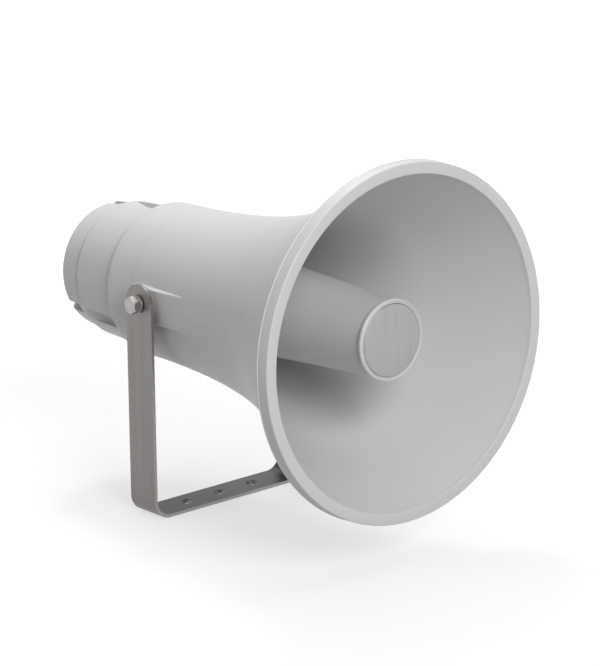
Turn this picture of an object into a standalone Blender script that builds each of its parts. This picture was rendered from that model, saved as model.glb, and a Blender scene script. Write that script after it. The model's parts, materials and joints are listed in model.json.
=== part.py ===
"""A PA horn speaker: a folded plastic horn with its driver, tilting in a folded steel bracket.

Metres, +Z up. The mouth faces -Y and the bracket stands on the plane z = 0. The origin lies on
that plane, under the middle of the whole speaker. Horn pieces are modelled along the horn's own
axis: a depth is measured back from the front of the mouth, a radius from the axis, and a clock
angle from the top towards +X.
"""
import math

import bmesh
import bpy
from mathutils import Matrix, Vector

# %% Fits
SEAT_GAP = 0.0003
OVERCUT = 0.003
TURN_STEPS = 42
HOUSING_STEPS = 32
INNER_STEPS = 18
BOSS_STEPS = 10
SCREW_STEPS = 6
EDGE_ANGLE = math.radians(35)

# %% Mouth and flare of the bell
MOUTH_RADIUS = 0.140
RIM_DEPTH = 0.0116
RIM_STEP = 0.0116
RIM_WALL = 0.0030
RIM_ROUND = 0.0018
BELL_WALL = 0.0030
FLARE_ANGLE = math.radians(25.1)
CONE_END = 0.085

# %% Collar behind the flare, and the socket that takes the driver housing
COLLAR_RADIUS = 0.0643
COLLAR_END = 0.291
COLLAR_LENGTH = 0.0335
SLEEVE_SETBACK = 0.0175
COLLAR_WALL = 0.0045
COLLAR_ROUND = 0.0015
SOCKET_DEPTH = 0.0105
LEDGE_WIDTH = 0.0043
LEDGE_THICKNESS = 0.0030

# %% Dished wall that turns the sound back to the mouth
DISH_SETBACK = 0.086
DISH_DEPTH = 0.025
DISH_LAND_RADIUS = 0.045
HUB_RADIUS = 0.027
HUB_RISE = 0.003

# %% Folded sound path
THROAT_RADIUS = 0.0095
THROAT_MOUTH_RADIUS = 0.018
THROAT_WALL = 0.0020
THROAT_FRONT = 0.050
FLANGE_RADIUS = 0.026
FOOT_LENGTH = 0.0217
SPIGOT_WALL = 0.0044
PILLAR_CIRCLE = 0.0213
PILLAR_RADIUS = 0.0033
PILLAR_OVERLAP = 0.012
FLANGE_SCREW_CIRCLE = 0.0205
FLANGE_SEAT_DEPTH = 0.0058

# %% Bullet: the inner cone that hangs in the mouth
BULLET_FRONT = 0.0186
BULLET_FRONT_RADIUS = 0.0312
BULLET_ROUND = 0.0014
BULLET_GAP = 0.010
BULLET_TAPER = math.radians(2.88)
BULLET_WALL = 0.0025
BULLET_NOSE_WALL = 0.0068
BADGE_RECESS = 0.0016
BADGE_EDGE = 0.0016
BADGE_THICKNESS = 0.0023
BULLET_DISH = 0.010
BULLET_SCREW_BITE = 0.012
CONE_TIP_LENGTH = 0.015
CONE_TIP_STEPS = ((0.62, 0.16), (0.30, 0.50))

# %% Driver
PLATE_THICKNESS = 0.0117
EAR_THICKNESS = 0.0040
EAR_RADIUS = 0.0054
EAR_REACH = 0.0040
POST_HEIGHT = 0.0048
POST_RADIUS = 0.0050
GASKET_THICKNESS = 0.0015
RING_THICKNESS = 0.0042
POLE_PLATE_THICKNESS = 0.0060
MAGNET_THICKNESS = 0.0150
BACK_PLATE_THICKNESS = 0.0060
PLUG_RADIUS = 0.0240
PLUG_SEAT_DEPTH = 0.0049
PLUG_TIP_STEPS = ((0.0041, 0.0024), (0.0101, 0.0052))
PLUG_TIP = 0.0015
PLUG_SLOTS = 8
PLUG_SLOT_WIDTH = 0.0022
PLUG_SLOT_REACH = (0.0108, 0.0199)
DIAPHRAGM_RADIUS = 0.0290
DOME_RADIUS = 0.0220
DOME_RISE = 0.0045
DIAPHRAGM_THICKNESS = 0.0004
DIAPHRAGM_TRAVEL = 0.0004
COIL_RADIUS = 0.0230
COIL_WALL = 0.0012
COIL_LENGTH = 0.0088
COIL_CLEARANCE = 0.0007
MAGNET_INSET = 0.0021
DRIVER_CLEARANCE = 0.0008

# %% Line transformer and terminals behind the driver
CORE_WIDTH = 0.018
CORE_HEIGHT = 0.044
CORE_LEG = 0.006
CORE_WINDOW = 0.007
BOBBIN_WALL = 0.0010
BOBBIN_OVERHANG = 0.0067
FRAME_SHEET = 0.0015
FRAME_TAB = 0.016
FRAME_EAR = 0.012
FRAME_SCREW_REACH = 0.0054
TERMINAL_SIZE = (0.034, 0.011, 0.012)
TERMINAL_WAYS = 4
TERMINAL_WELL_RADIUS = 0.0029
TERMINAL_WELL_DEPTH = 0.0060
TERMINAL_SCREW_HEIGHT = 0.0033

# %% Driver housing and back cap
HOUSING_LENGTH = 0.0505
HOUSING_TAPER = 0.0020
HOUSING_WALL = 0.0025
HOUSING_LIP = 0.0050
LIP_THICKNESS = 0.0030
SEAL_THICKNESS = 0.0013
SCREW_CLOCKS = (0, 120, 240)
POST_CLOCKS = (60, 180, 300)
SCREW_INSET = 0.0075
BOSS_RADIUS = 0.0052
BOSS_LENGTH = 0.0185
TUBE_RADIUS = 0.0042
CHANNEL_WIDTH = 0.0118
CHANNEL_STOP = 0.0015
CHANNEL_SLOPE = 4.5
CHANNEL_ROUND = 0.0022
CHANNEL_FLOOR = 0.0052
CHANNEL_WALL = 0.0022
CAP_STEP = 0.0020
CAP_TAPER = 0.0025
CAP_LENGTH = 0.0287
CAP_ROUND = 0.0095
CAP_WALL = 0.0025
POCKET_RADIUS = 0.0055
POCKET_FLOOR = 0.0067
POCKET_WALL = 0.0020
FOOT_CLOCKS = (50, 170, 290)
REAR_FOOT_RISE = 0.0016
REAR_FOOT_LENGTH = 0.0090
REAR_FOOT_WIDTH = 0.0045
REAR_FOOT_INSET = 0.0057

# %% Screws and inserts
HOUSING_SCREW_RADIUS = 0.0020
SMALL_SCREW_RADIUS = 0.0015
SCREW_HEAD_RATIO = 2.0
SCREW_HEAD_HEIGHT = 0.0026
SCREW_HEAD_ROUND = (0.60, 0.45)
INSERT_WALL = 0.0008
INSERT_LENGTH = 0.0085

# %% Cable gland under the middle of the back cap
GLAND_DROP = 0.026
GLAND_THREAD_RADIUS = 0.0059
GLAND_BORE = 0.0036
GLAND_FLATS = 0.018
GLAND_FLANGE = 0.0050
GLAND_NECK = 0.0077
GLAND_NUT_LENGTH = 0.0114
GLAND_NUT_WALL = 0.0022
GLAND_SEAL_BORE = 0.0027
LOCKNUT_THICKNESS = 0.0033
LOCKNUT_FLATS = 0.0162
THREAD_OVERHANG = 0.00125

# %% Side pads and pivots
PIVOT_SETBACK = 0.0575
PIVOT_RISE = 0.0035
PAD_HALF_WIDTH = 0.0720
PAD_HEIGHT = 0.0314
PAD_NARROWING = 0.047
PAD_FLAT_REACH = 0.0135
PAD_REACH = 0.0615
PAD_LEAN = math.radians(5.6)
PAD_BACK = 0.0165
PAD_ROUND = 0.0012
PAD_INSERT_RADIUS = 0.0060
PAD_INSERT_LENGTH = 0.0085
BOLT_RADIUS = 0.0039
BOLT_LENGTH = 0.0158
BOLT_HEAD_FLATS = 0.0130
BOLT_HEAD_HEIGHT = 0.0062
BOLT_HEAD_BEVEL = 0.0006
BOLT_PLAY = 0.0006
FRICTION_WASHER_THICKNESS = 0.0010
FRICTION_WASHER_RADIUS = 0.0110
SPRING_WASHER_THICKNESS = 0.0022
SPRING_WASHER_RADIUS = 0.0072
SPRING_WASHER_SLIT = 0.0012

# %% Bracket
STRIP_WIDTH = 0.032
STRIP_THICKNESS = 0.0025
PIVOT_HEIGHT = 0.177
BRACKET_SPREAD = 0.0028
BEND_RADIUS = 0.0125
BEND_STEPS = 7
END_STEPS = 7
END_ANGLE = math.radians(84)
BASE_HOLE_RADIUS = 0.0050
BASE_HOLE_SPACING = 0.0347

# %% Sizes that follow from the ones above
BELL_END = COLLAR_END - COLLAR_LENGTH
DISH_START = COLLAR_END - DISH_SETBACK
SLEEVE_FRONT = DISH_START + SLEEVE_SETBACK
BULLET_REAR = DISH_START - BULLET_GAP
HOUSING_END = COLLAR_END + HOUSING_LENGTH
PIVOT_DEPTH = COLLAR_END - PIVOT_SETBACK
PAD_FLAT_FRONT = PIVOT_DEPTH - PAD_FLAT_REACH
PAD_FRONT = PIVOT_DEPTH - PAD_REACH
PAD_TIP_HALF_WIDTH = PAD_HALF_WIDTH - math.tan(PAD_LEAN) * (PAD_REACH - PAD_FLAT_REACH)
FLARE_SLOPE = math.tan(FLARE_ANGLE)
SHOULDER_RADIUS = MOUTH_RADIUS - RIM_STEP
CONE_END_RADIUS = SHOULDER_RADIUS - FLARE_SLOPE * (CONE_END - RIM_DEPTH)
BELL_BORE = COLLAR_RADIUS - BELL_WALL
SLEEVE_RADIUS = BELL_BORE - SEAT_GAP
CHAMBER_RADIUS = SLEEVE_RADIUS - BELL_WALL
SOCKET_RADIUS = COLLAR_RADIUS - COLLAR_WALL
LEDGE_RADIUS = SOCKET_RADIUS - LEDGE_WIDTH
LEDGE_REAR = COLLAR_END - SOCKET_DEPTH
HOUSING_RADIUS = SOCKET_RADIUS - SEAT_GAP
HOUSING_REAR_RADIUS = HOUSING_RADIUS - HOUSING_TAPER
CHANNEL_TOP = HOUSING_RADIUS + OVERCUT
CHANNEL_END = HOUSING_END - CHANNEL_STOP + CHANNEL_SLOPE * (CHANNEL_TOP - HOUSING_REAR_RADIUS)
SCREW_CIRCLE = LEDGE_RADIUS - SCREW_INSET
DRIVER_RADIUS = SCREW_CIRCLE - BOSS_RADIUS - DRIVER_CLEARANCE
POST_CIRCLE = DRIVER_RADIUS + EAR_REACH
WALL_FRONT = DISH_START + DISH_DEPTH
WALL_REAR = WALL_FRONT + BELL_WALL
HUB_REAR = WALL_REAR + HUB_RISE
THROAT_REAR = HUB_REAR - SEAT_GAP
SPIGOT_RADIUS = THROAT_RADIUS + SPIGOT_WALL
FLANGE_REAR = WALL_FRONT - SEAT_GAP
FLANGE_SEAT = FLANGE_REAR - FLANGE_SEAT_DEPTH
BADGE_RADIUS = BULLET_FRONT_RADIUS - BULLET_ROUND - SEAT_GAP * 2
BADGE_FLOOR = BULLET_FRONT + BADGE_RECESS
BULLET_LAND = BADGE_FLOOR + BULLET_NOSE_WALL
BULLET_SCREW_SEAT = BADGE_FLOOR + SCREW_HEAD_HEIGHT + SEAT_GAP * 2
GASKET_FRONT = HUB_REAR + SEAT_GAP
PLATE_FRONT = GASKET_FRONT + GASKET_THICKNESS + SEAT_GAP
PLATE_REAR = PLATE_FRONT + PLATE_THICKNESS
RING_FRONT = PLATE_REAR + SEAT_GAP
RING_REAR = RING_FRONT + RING_THICKNESS
RING_BORE = DIAPHRAGM_RADIUS + SEAT_GAP
MOTOR_SCREW_CIRCLE = (RING_BORE + DRIVER_RADIUS) / 2
POLE_PLATE_FRONT = RING_REAR + SEAT_GAP
POLE_PLATE_REAR = POLE_PLATE_FRONT + POLE_PLATE_THICKNESS
POLE_PLATE_BORE = COIL_RADIUS + COIL_WALL + COIL_CLEARANCE
POLE_RADIUS = COIL_RADIUS - COIL_CLEARANCE
MAGNET_FRONT = POLE_PLATE_REAR + SEAT_GAP
MAGNET_REAR = MAGNET_FRONT + MAGNET_THICKNESS
MAGNET_RADIUS = DRIVER_RADIUS - MAGNET_INSET
BACK_PLATE_FRONT = MAGNET_REAR + SEAT_GAP
BACK_PLATE_REAR = BACK_PLATE_FRONT + BACK_PLATE_THICKNESS
DIAPHRAGM_EDGE = (RING_FRONT + RING_REAR) / 2
FRAME_FRONT = BACK_PLATE_REAR + SEAT_GAP
CORE_FRONT = FRAME_FRONT + FRAME_SHEET + SEAT_GAP
FRAME_SCREW_HEIGHT = CORE_HEIGHT / 2 + FRAME_SHEET + SEAT_GAP + FRAME_SCREW_REACH
CORE_REAR = CORE_FRONT + 4 * CORE_LEG + 2 * CORE_WINDOW
CORE_MIDDLE = (CORE_FRONT + CORE_REAR) / 2
TERMINAL_FRONT = CORE_REAR + SEAT_GAP
SEAL_FRONT = LEDGE_REAR + SEAT_GAP
HOUSING_FRONT = SEAL_FRONT + SEAL_THICKNESS + SEAT_GAP
BOSS_REAR = HOUSING_FRONT - SEAT_GAP
HOUSING_LIP_FRONT = HOUSING_END - LIP_THICKNESS
REAR_SEAL_FRONT = HOUSING_END + SEAT_GAP
CAP_FRONT = REAR_SEAL_FRONT + SEAL_THICKNESS + SEAT_GAP
CAP_RADIUS = HOUSING_REAR_RADIUS - CAP_STEP
CAP_REAR_RADIUS = CAP_RADIUS - CAP_TAPER
CAP_REAR = CAP_FRONT + CAP_LENGTH
CAP_INNER_REAR = CAP_REAR - CAP_WALL
POCKET_FLOOR_DEPTH = CAP_FRONT + POCKET_FLOOR
GLAND_FACE = CAP_REAR + SEAT_GAP
GLAND_NUT_FRONT = GLAND_FACE + GLAND_FLANGE + SEAT_GAP
GLAND_END = GLAND_NUT_FRONT + GLAND_NUT_LENGTH
GLAND_NECK_REAR = GLAND_FACE + GLAND_FLANGE + GLAND_NECK
SCREW_CLEARANCE = SMALL_SCREW_RADIUS + SEAT_GAP
HOUSING_SCREW_CLEARANCE = HOUSING_SCREW_RADIUS + SEAT_GAP
INSERT_RADIUS = HOUSING_SCREW_CLEARANCE + INSERT_WALL
LEAN_DROP = PIVOT_HEIGHT - BEND_RADIUS - STRIP_THICKNESS
LEAN = math.atan(BRACKET_SPREAD / LEAN_DROP)
LEAN_PLAY = SEAT_GAP + math.tan(LEAN) * FRICTION_WASHER_RADIUS
ARM_INNER = PAD_HALF_WIDTH + FRICTION_WASHER_THICKNESS + SEAT_GAP + LEAN_PLAY
ARM_OUTER = ARM_INNER + STRIP_THICKNESS / math.cos(LEAN)
BOLT_HOLE_RADIUS = BOLT_RADIUS + BOLT_PLAY
PAD_INSERT_BORE = BOLT_RADIUS + SEAT_GAP
MIDDLE_DEPTH = GLAND_END / 2


# %% Materials
def finish(name, colour, roughness, metallic=0.0):
    """A Principled material with one plain finish."""
    material = bpy.data.materials.new(name)
    material.use_nodes = True
    shader = material.node_tree.nodes["Principled BSDF"]
    shader.inputs["Base Color"].default_value = (*colour, 1.0)
    shader.inputs["Roughness"].default_value = roughness
    shader.inputs["Metallic"].default_value = metallic
    return material


def finishes():
    """The finishes of the whole speaker, by name."""
    return {
        "horn_plastic": finish("horn_plastic", (0.66, 0.65, 0.64), 0.42),
        "inner_plastic": finish("inner_plastic", (0.12, 0.12, 0.12), 0.55),
        "steel": finish("steel", (0.50, 0.49, 0.48), 0.38, 1.0),
        "bolt_steel": finish("bolt_steel", (0.62, 0.61, 0.60), 0.30, 1.0),
        "brass": finish("brass", (0.70, 0.52, 0.25), 0.35, 1.0),
        "aluminium": finish("aluminium", (0.72, 0.72, 0.72), 0.35, 1.0),
        "nylon": finish("nylon", (0.75, 0.74, 0.70), 0.50),
        "rubber": finish("rubber", (0.04, 0.04, 0.04), 0.80),
        "ferrite": finish("ferrite", (0.06, 0.06, 0.065), 0.60),
        "plated_iron": finish("plated_iron", (0.55, 0.54, 0.50), 0.40, 1.0),
        "copper": finish("copper", (0.70, 0.36, 0.20), 0.35, 1.0),
        "resin": finish("resin", (0.45, 0.25, 0.10), 0.60),
    }


# %% Placing
def polar(radius, clock, depth):
    """A point of the horn's frame at a radius, a clock angle in degrees and a depth."""
    angle = math.radians(clock)
    return Vector((radius * math.sin(angle), depth, radius * math.cos(angle)))


def turned_to(clock):
    """The rotation about the horn's axis that takes the top to a clock angle."""
    return Matrix.Rotation(math.radians(clock), 4, "Y")


def empty(name, location, parent=None):
    """An empty that carries other objects."""
    carrier = bpy.data.objects.new(name, None)
    carrier.empty_display_size = 0.03
    carrier.location = location
    carrier.parent = parent
    bpy.context.collection.objects.link(carrier)
    return carrier


def piece(name, bm, material, parent, location=(0, 0, 0), rotation=(0, 0, 0)):
    """A named object made from a bmesh, shaded smooth with its hard edges kept."""
    bmesh.ops.recalc_face_normals(bm, faces=bm.faces)
    mesh = bpy.data.meshes.new(name)
    bm.to_mesh(mesh)
    bm.free()
    mesh.shade_smooth()
    mesh.set_sharp_from_angle(angle=EDGE_ANGLE)
    if material:
        mesh.materials.append(material)
    made = bpy.data.objects.new(name, mesh)
    made.location = location
    made.rotation_euler = rotation
    made.parent = parent
    bpy.context.collection.objects.link(made)
    return made


def tool(name, bm, parent):
    """A hidden shape that cuts or extends a piece."""
    shape = piece(name, bm, None, parent)
    shape.hide_render = True
    shape.display_type = "WIRE"
    return shape


def combine(target, shape, operation):
    """Adds an exact Boolean to target: 'DIFFERENCE' cuts the shape away, 'UNION' joins it on."""
    modifier = target.modifiers.new(shape.name, "BOOLEAN")
    modifier.operation = operation
    modifier.solver = "EXACT"
    modifier.object = shape
    return target


# %% Shapes
def arc(centre, radii, start, end, steps):
    """(radius, depth) points of an elliptical arc; 0 degrees points outwards and 90 to the rear."""
    points = []
    for step in range(steps + 1):
        angle = math.radians(start + (end - start) * step / steps)
        points.append((centre[0] + radii[0] * math.cos(angle), centre[1] + radii[1] * math.sin(angle)))
    return points


def lathe(profile, steps=TURN_STEPS, closed=False):
    """A solid turned about +Y from (radius, depth) points. An open profile starts and ends on the axis."""
    bm = bmesh.new()
    verts = [bm.verts.new((radius, depth, 0)) for radius, depth in profile]
    edges = [bm.edges.new(pair) for pair in zip(verts, verts[1:])]
    if closed:
        edges.append(bm.edges.new((verts[-1], verts[0])))
    bmesh.ops.spin(bm, geom=verts + edges, cent=(0, 0, 0), axis=(0, 1, 0),
                   angle=math.tau, steps=steps, use_merge=True)
    bmesh.ops.remove_doubles(bm, verts=bm.verts, dist=0.000001)
    bmesh.ops.recalc_face_normals(bm, faces=bm.faces)
    return bm


def ring(inner, outer, front, rear, steps=TURN_STEPS):
    """A plain turned ring between two depths."""
    return lathe([(inner, front), (outer, front), (outer, rear), (inner, rear)], steps, closed=True)


def rod(bm, start, end, radius, steps=BOSS_STEPS):
    """Adds a cylinder between two points."""
    start, end = Vector(start), Vector(end)
    along = end - start
    place = Matrix.Translation((start + end) / 2) @ along.to_track_quat("Z", "Y").to_matrix().to_4x4()
    bmesh.ops.create_cone(bm, cap_ends=True, segments=steps, radius1=radius, radius2=radius,
                          depth=along.length, matrix=place)


def block(bm, low, high, clock=0):
    """Adds a box between two corners, turned about the horn's axis to a clock angle."""
    low, high = Vector(low), Vector(high)
    size = Matrix.Diagonal((*(high - low), 1))
    bmesh.ops.create_cube(bm, size=1, matrix=turned_to(clock) @ Matrix.Translation((low + high) / 2) @ size)


def prism(bm, outline, along, clock=0):
    """Adds a flat outline of points, swept by the vector along and turned to a clock angle."""
    face = bm.faces.new([bm.verts.new(point) for point in outline])
    swept = bmesh.ops.extrude_face_region(bm, geom=[face])["geom"]
    verts = [item for item in swept if isinstance(item, bmesh.types.BMVert)]
    bmesh.ops.translate(bm, verts=verts, vec=along)
    bmesh.ops.transform(bm, matrix=turned_to(clock), verts=verts + list(face.verts))


def screw_shape(shank, length):
    """A pan-head screw with its seat at the origin and its shank along +Y."""
    head = shank * SCREW_HEAD_RATIO
    rise = SCREW_HEAD_HEIGHT
    flat, side = SCREW_HEAD_ROUND
    profile = [(0, -rise), (head * flat, -rise), (head, -rise * side), (head, 0),
               (shank, 0), (shank, length), (0, length)]
    return lathe(profile, SCREW_STEPS)


def flare(along):
    """The (radius, depth) point of the bell's outer curve at 0 to 1 of its way, and its outward normal."""
    bend_depth = CONE_END + (CONE_END_RADIUS - COLLAR_RADIUS) / FLARE_SLOPE
    start = Vector((CONE_END_RADIUS, CONE_END))
    bend = Vector((COLLAR_RADIUS, bend_depth))
    end = Vector((COLLAR_RADIUS, COLLAR_END - COLLAR_ROUND))
    point = start * (1 - along) ** 2 + bend * 2 * along * (1 - along) + end * along ** 2
    heading = ((bend - start) * (1 - along) + (end - bend) * along).normalized()
    return point, Vector((heading[1], -heading[0]))


def flare_way(depth):
    """How far along the bell's curve, from 0 to 1, a depth lies."""
    low, high = 0.0, 1.0
    for _ in range(30):
        middle = (low + high) / 2
        if flare(middle)[0][1] < depth:
            low = middle
        else:
            high = middle
    return (low + high) / 2


def flare_points(offset, last, steps):
    """(radius, depth) points along the bell's curve, set in by offset along its normal."""
    points = []
    for step in range(steps + 1):
        point, normal = flare(last * step / steps)
        points.append(tuple(point - normal * offset))
    return points


# %% Bell and rear collar
def horn_bell(parent):
    """The bell: flat rim with an open groove behind it, straight flare, curve, pads and a bore behind."""
    groove_radius = SHOULDER_RADIUS + FLARE_SLOPE * (RIM_DEPTH - RIM_WALL)
    profile = [(0, 0)]
    profile += arc((MOUTH_RADIUS - RIM_ROUND, RIM_ROUND), (RIM_ROUND, RIM_ROUND), -90, 0, 2)
    profile += [(MOUTH_RADIUS, RIM_DEPTH - RIM_WALL / 4), (MOUTH_RADIUS - RIM_WALL / 4, RIM_DEPTH),
                (MOUTH_RADIUS - RIM_WALL, RIM_DEPTH), (MOUTH_RADIUS - RIM_WALL, RIM_WALL),
                (groove_radius, RIM_WALL), (SHOULDER_RADIUS, RIM_DEPTH)]
    profile += flare_points(0, flare_way(BELL_END), 6)
    profile.append((0, BELL_END))
    bell = piece("horn_bell", lathe(profile), FINISHES["horn_plastic"], parent)
    combine(bell, side_pads(parent), "UNION")
    combine(bell, sound_space(parent, "bell"), "DIFFERENCE")
    bore = lathe([(0, SLEEVE_FRONT), (BELL_BORE, SLEEVE_FRONT), (BELL_BORE, BELL_END + OVERCUT),
                  (0, BELL_END + OVERCUT)])
    combine(bell, tool("bell_bore", bore, parent), "DIFFERENCE")
    holes = bmesh.new()
    for side in (-1, 1):
        rod(holes, (side * (PAD_HALF_WIDTH - PAD_INSERT_LENGTH - SEAT_GAP * 2), PIVOT_DEPTH, PIVOT_RISE),
            (side * (PAD_HALF_WIDTH + OVERCUT), PIVOT_DEPTH, PIVOT_RISE),
            PAD_INSERT_RADIUS + SEAT_GAP, INNER_STEPS)
    combine(bell, tool("bell_holes", holes, parent), "DIFFERENCE")


def dish_inner_radius():
    """The radius of the bell's inner wall where the dish starts."""
    point, normal = flare(flare_way(DISH_START))
    return point[0] - normal[0] * BELL_WALL


def sound_space(parent, name):
    """The space inside the bell, from the mouth to the dished wall."""
    lip = SHOULDER_RADIUS + FLARE_SLOPE * RIM_DEPTH - BELL_WALL / math.cos(FLARE_ANGLE)
    profile = [(0, -OVERCUT), (lip + RIM_ROUND, -OVERCUT), (lip + RIM_ROUND, 0),
               (lip + RIM_ROUND * 0.3, RIM_ROUND * 0.4), (lip - RIM_ROUND * FLARE_SLOPE, RIM_ROUND)]
    profile += flare_points(BELL_WALL, flare_way(DISH_START), 5)
    reach = dish_inner_radius() - DISH_LAND_RADIUS
    profile += arc((DISH_LAND_RADIUS, DISH_START), (reach, DISH_DEPTH), 0, 90, 5)[1:]
    profile.append((0, WALL_FRONT))
    return tool(name + "_sound_space", lathe(profile), parent)


def driver_chamber(parent):
    """The space behind the dished wall, with the posts and bosses that stand in it left out."""
    reach = dish_inner_radius() - DISH_LAND_RADIUS + BELL_WALL
    rise = DISH_DEPTH + BELL_WALL
    outer_angle = math.degrees(math.acos(min(1.0, (CHAMBER_RADIUS - DISH_LAND_RADIUS) / reach)))
    profile = [(0, WALL_FRONT - OVERCUT), (SPIGOT_RADIUS + SEAT_GAP, WALL_FRONT - OVERCUT),
               (SPIGOT_RADIUS + SEAT_GAP, HUB_REAR), (HUB_RADIUS, HUB_REAR), (HUB_RADIUS, WALL_REAR)]
    profile += arc((DISH_LAND_RADIUS, DISH_START), (reach, rise), 90, outer_angle, 3)
    profile += [(CHAMBER_RADIUS, LEDGE_REAR - LEDGE_THICKNESS),
                (LEDGE_RADIUS, LEDGE_REAR - LEDGE_THICKNESS), (LEDGE_RADIUS, LEDGE_REAR),
                (SOCKET_RADIUS, LEDGE_REAR), (SOCKET_RADIUS, COLLAR_END + OVERCUT),
                (0, COLLAR_END + OVERCUT)]
    chamber = tool("collar_chamber", lathe(profile), parent)
    posts = bmesh.new()
    for clock in POST_CLOCKS:
        rod(posts, polar(POST_CIRCLE, clock, WALL_FRONT),
            polar(POST_CIRCLE, clock, WALL_REAR + POST_HEIGHT), POST_RADIUS)
    combine(chamber, tool("collar_posts", posts, parent), "DIFFERENCE")
    webs = bmesh.new()
    for clock in SCREW_CLOCKS:
        block(webs, (-TUBE_RADIUS / 2, LEDGE_REAR - BOSS_LENGTH + BELL_WALL, SCREW_CIRCLE),
              (TUBE_RADIUS / 2, LEDGE_REAR - LEDGE_THICKNESS / 2, COLLAR_RADIUS), clock)
    combine(chamber, tool("collar_webs", webs, parent), "DIFFERENCE")
    bosses = bmesh.new()
    for clock in SCREW_CLOCKS:
        rod(bosses, polar(SCREW_CIRCLE, clock, LEDGE_REAR - BOSS_LENGTH),
            polar(SCREW_CIRCLE, clock, BOSS_REAR), BOSS_RADIUS)
    return combine(chamber, tool("collar_bosses", bosses, parent), "DIFFERENCE")


def pad_outline(half_height_at_pivot):
    """The (depth, height) outline of a side pad: narrower towards the mouth, square behind."""
    depths = (PAD_FRONT, PAD_FLAT_FRONT, PIVOT_DEPTH + PAD_BACK)
    halves = [half_height_at_pivot + PAD_NARROWING * (depth - PIVOT_DEPTH) for depth in depths]
    lower = [(depth, PIVOT_RISE - half) for depth, half in zip(depths, halves)]
    upper = [(depth, PIVOT_RISE + half) for depth, half in zip(depths, halves)]
    return lower + upper[::-1]


def side_pads(parent):
    """The two blocks that the bracket arms clamp: flat at the pivot, leaning into the flare in front."""
    bm = bmesh.new()
    root = COLLAR_RADIUS - BELL_WALL / 2
    for side in (-1, 1):
        outline = [(side * root, depth, height) for depth, height in pad_outline(PAD_HEIGHT / 2)]
        prism(bm, outline, (side * (PAD_HALF_WIDTH - root), 0, 0))
    bmesh.ops.recalc_face_normals(bm, faces=bm.faces)
    outer = [vert for vert in bm.verts if abs(vert.co.x) > root + SEAT_GAP]
    for vert in outer:
        if vert.co.y < PAD_FRONT + SEAT_GAP:
            vert.co.x = math.copysign(PAD_TIP_HALF_WIDTH, vert.co.x)
    rim = []
    for edge in bm.edges:
        first, second = edge.verts
        upright = abs(first.co.z - second.co.z) > PAD_HEIGHT / 2
        if first in outer and second in outer and (first.co.y > PIVOT_DEPTH or not upright):
            rim.append(edge)
    bmesh.ops.bevel(bm, geom=rim, offset=PAD_ROUND, segments=2, profile=0.5, affect="EDGES")
    return tool("bell_pads", bm, parent)


def collar_drills(parent):
    """The holes in the bosses, the posts and the hub."""
    bm = bmesh.new()
    for clock in SCREW_CLOCKS:
        rod(bm, polar(SCREW_CIRCLE, clock, BOSS_REAR - INSERT_LENGTH - SEAT_GAP * 2),
            polar(SCREW_CIRCLE, clock, BOSS_REAR + OVERCUT), INSERT_RADIUS + SEAT_GAP)
        rod(bm, polar(FLANGE_SCREW_CIRCLE, clock, WALL_FRONT - OVERCUT),
            polar(FLANGE_SCREW_CIRCLE, clock, HUB_REAR + OVERCUT / 2), SCREW_CLEARANCE, SCREW_STEPS)
    for clock in POST_CLOCKS:
        rod(bm, polar(POST_CIRCLE, clock, WALL_REAR - BELL_WALL / 2),
            polar(POST_CIRCLE, clock, WALL_REAR + POST_HEIGHT + OVERCUT), SCREW_CLEARANCE, SCREW_STEPS)
    return tool("collar_holes", bm, parent)


def horn_collar(parent):
    """The rear moulding: a sleeve glued into the bell, closed by the dished wall, and the collar."""
    front = BELL_END + SEAT_GAP
    profile = [(0, SLEEVE_FRONT + SEAT_GAP), (SLEEVE_RADIUS, SLEEVE_FRONT + SEAT_GAP),
               (SLEEVE_RADIUS, front)]
    depths = [front + (COLLAR_END - COLLAR_ROUND - front) * step / 3 for step in range(3)]
    profile += [tuple(flare(flare_way(depth))[0]) for depth in depths]
    profile += arc((COLLAR_RADIUS - COLLAR_ROUND, COLLAR_END - COLLAR_ROUND),
                   (COLLAR_ROUND, COLLAR_ROUND), 0, 90, 2)
    profile.append((0, COLLAR_END))
    collar = piece("horn_collar", lathe(profile), FINISHES["horn_plastic"], parent)
    combine(collar, sound_space(parent, "collar"), "DIFFERENCE")
    combine(collar, driver_chamber(parent), "DIFFERENCE")
    combine(collar, collar_drills(parent), "DIFFERENCE")


# %% Throat tube
def throat_radius(depth):
    """The bore of the throat tube, which widens exponentially towards the front."""
    way = (THROAT_REAR - depth) / (THROAT_REAR - THROAT_FRONT)
    return THROAT_RADIUS * (THROAT_MOUTH_RADIUS / THROAT_RADIUS) ** way


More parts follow.
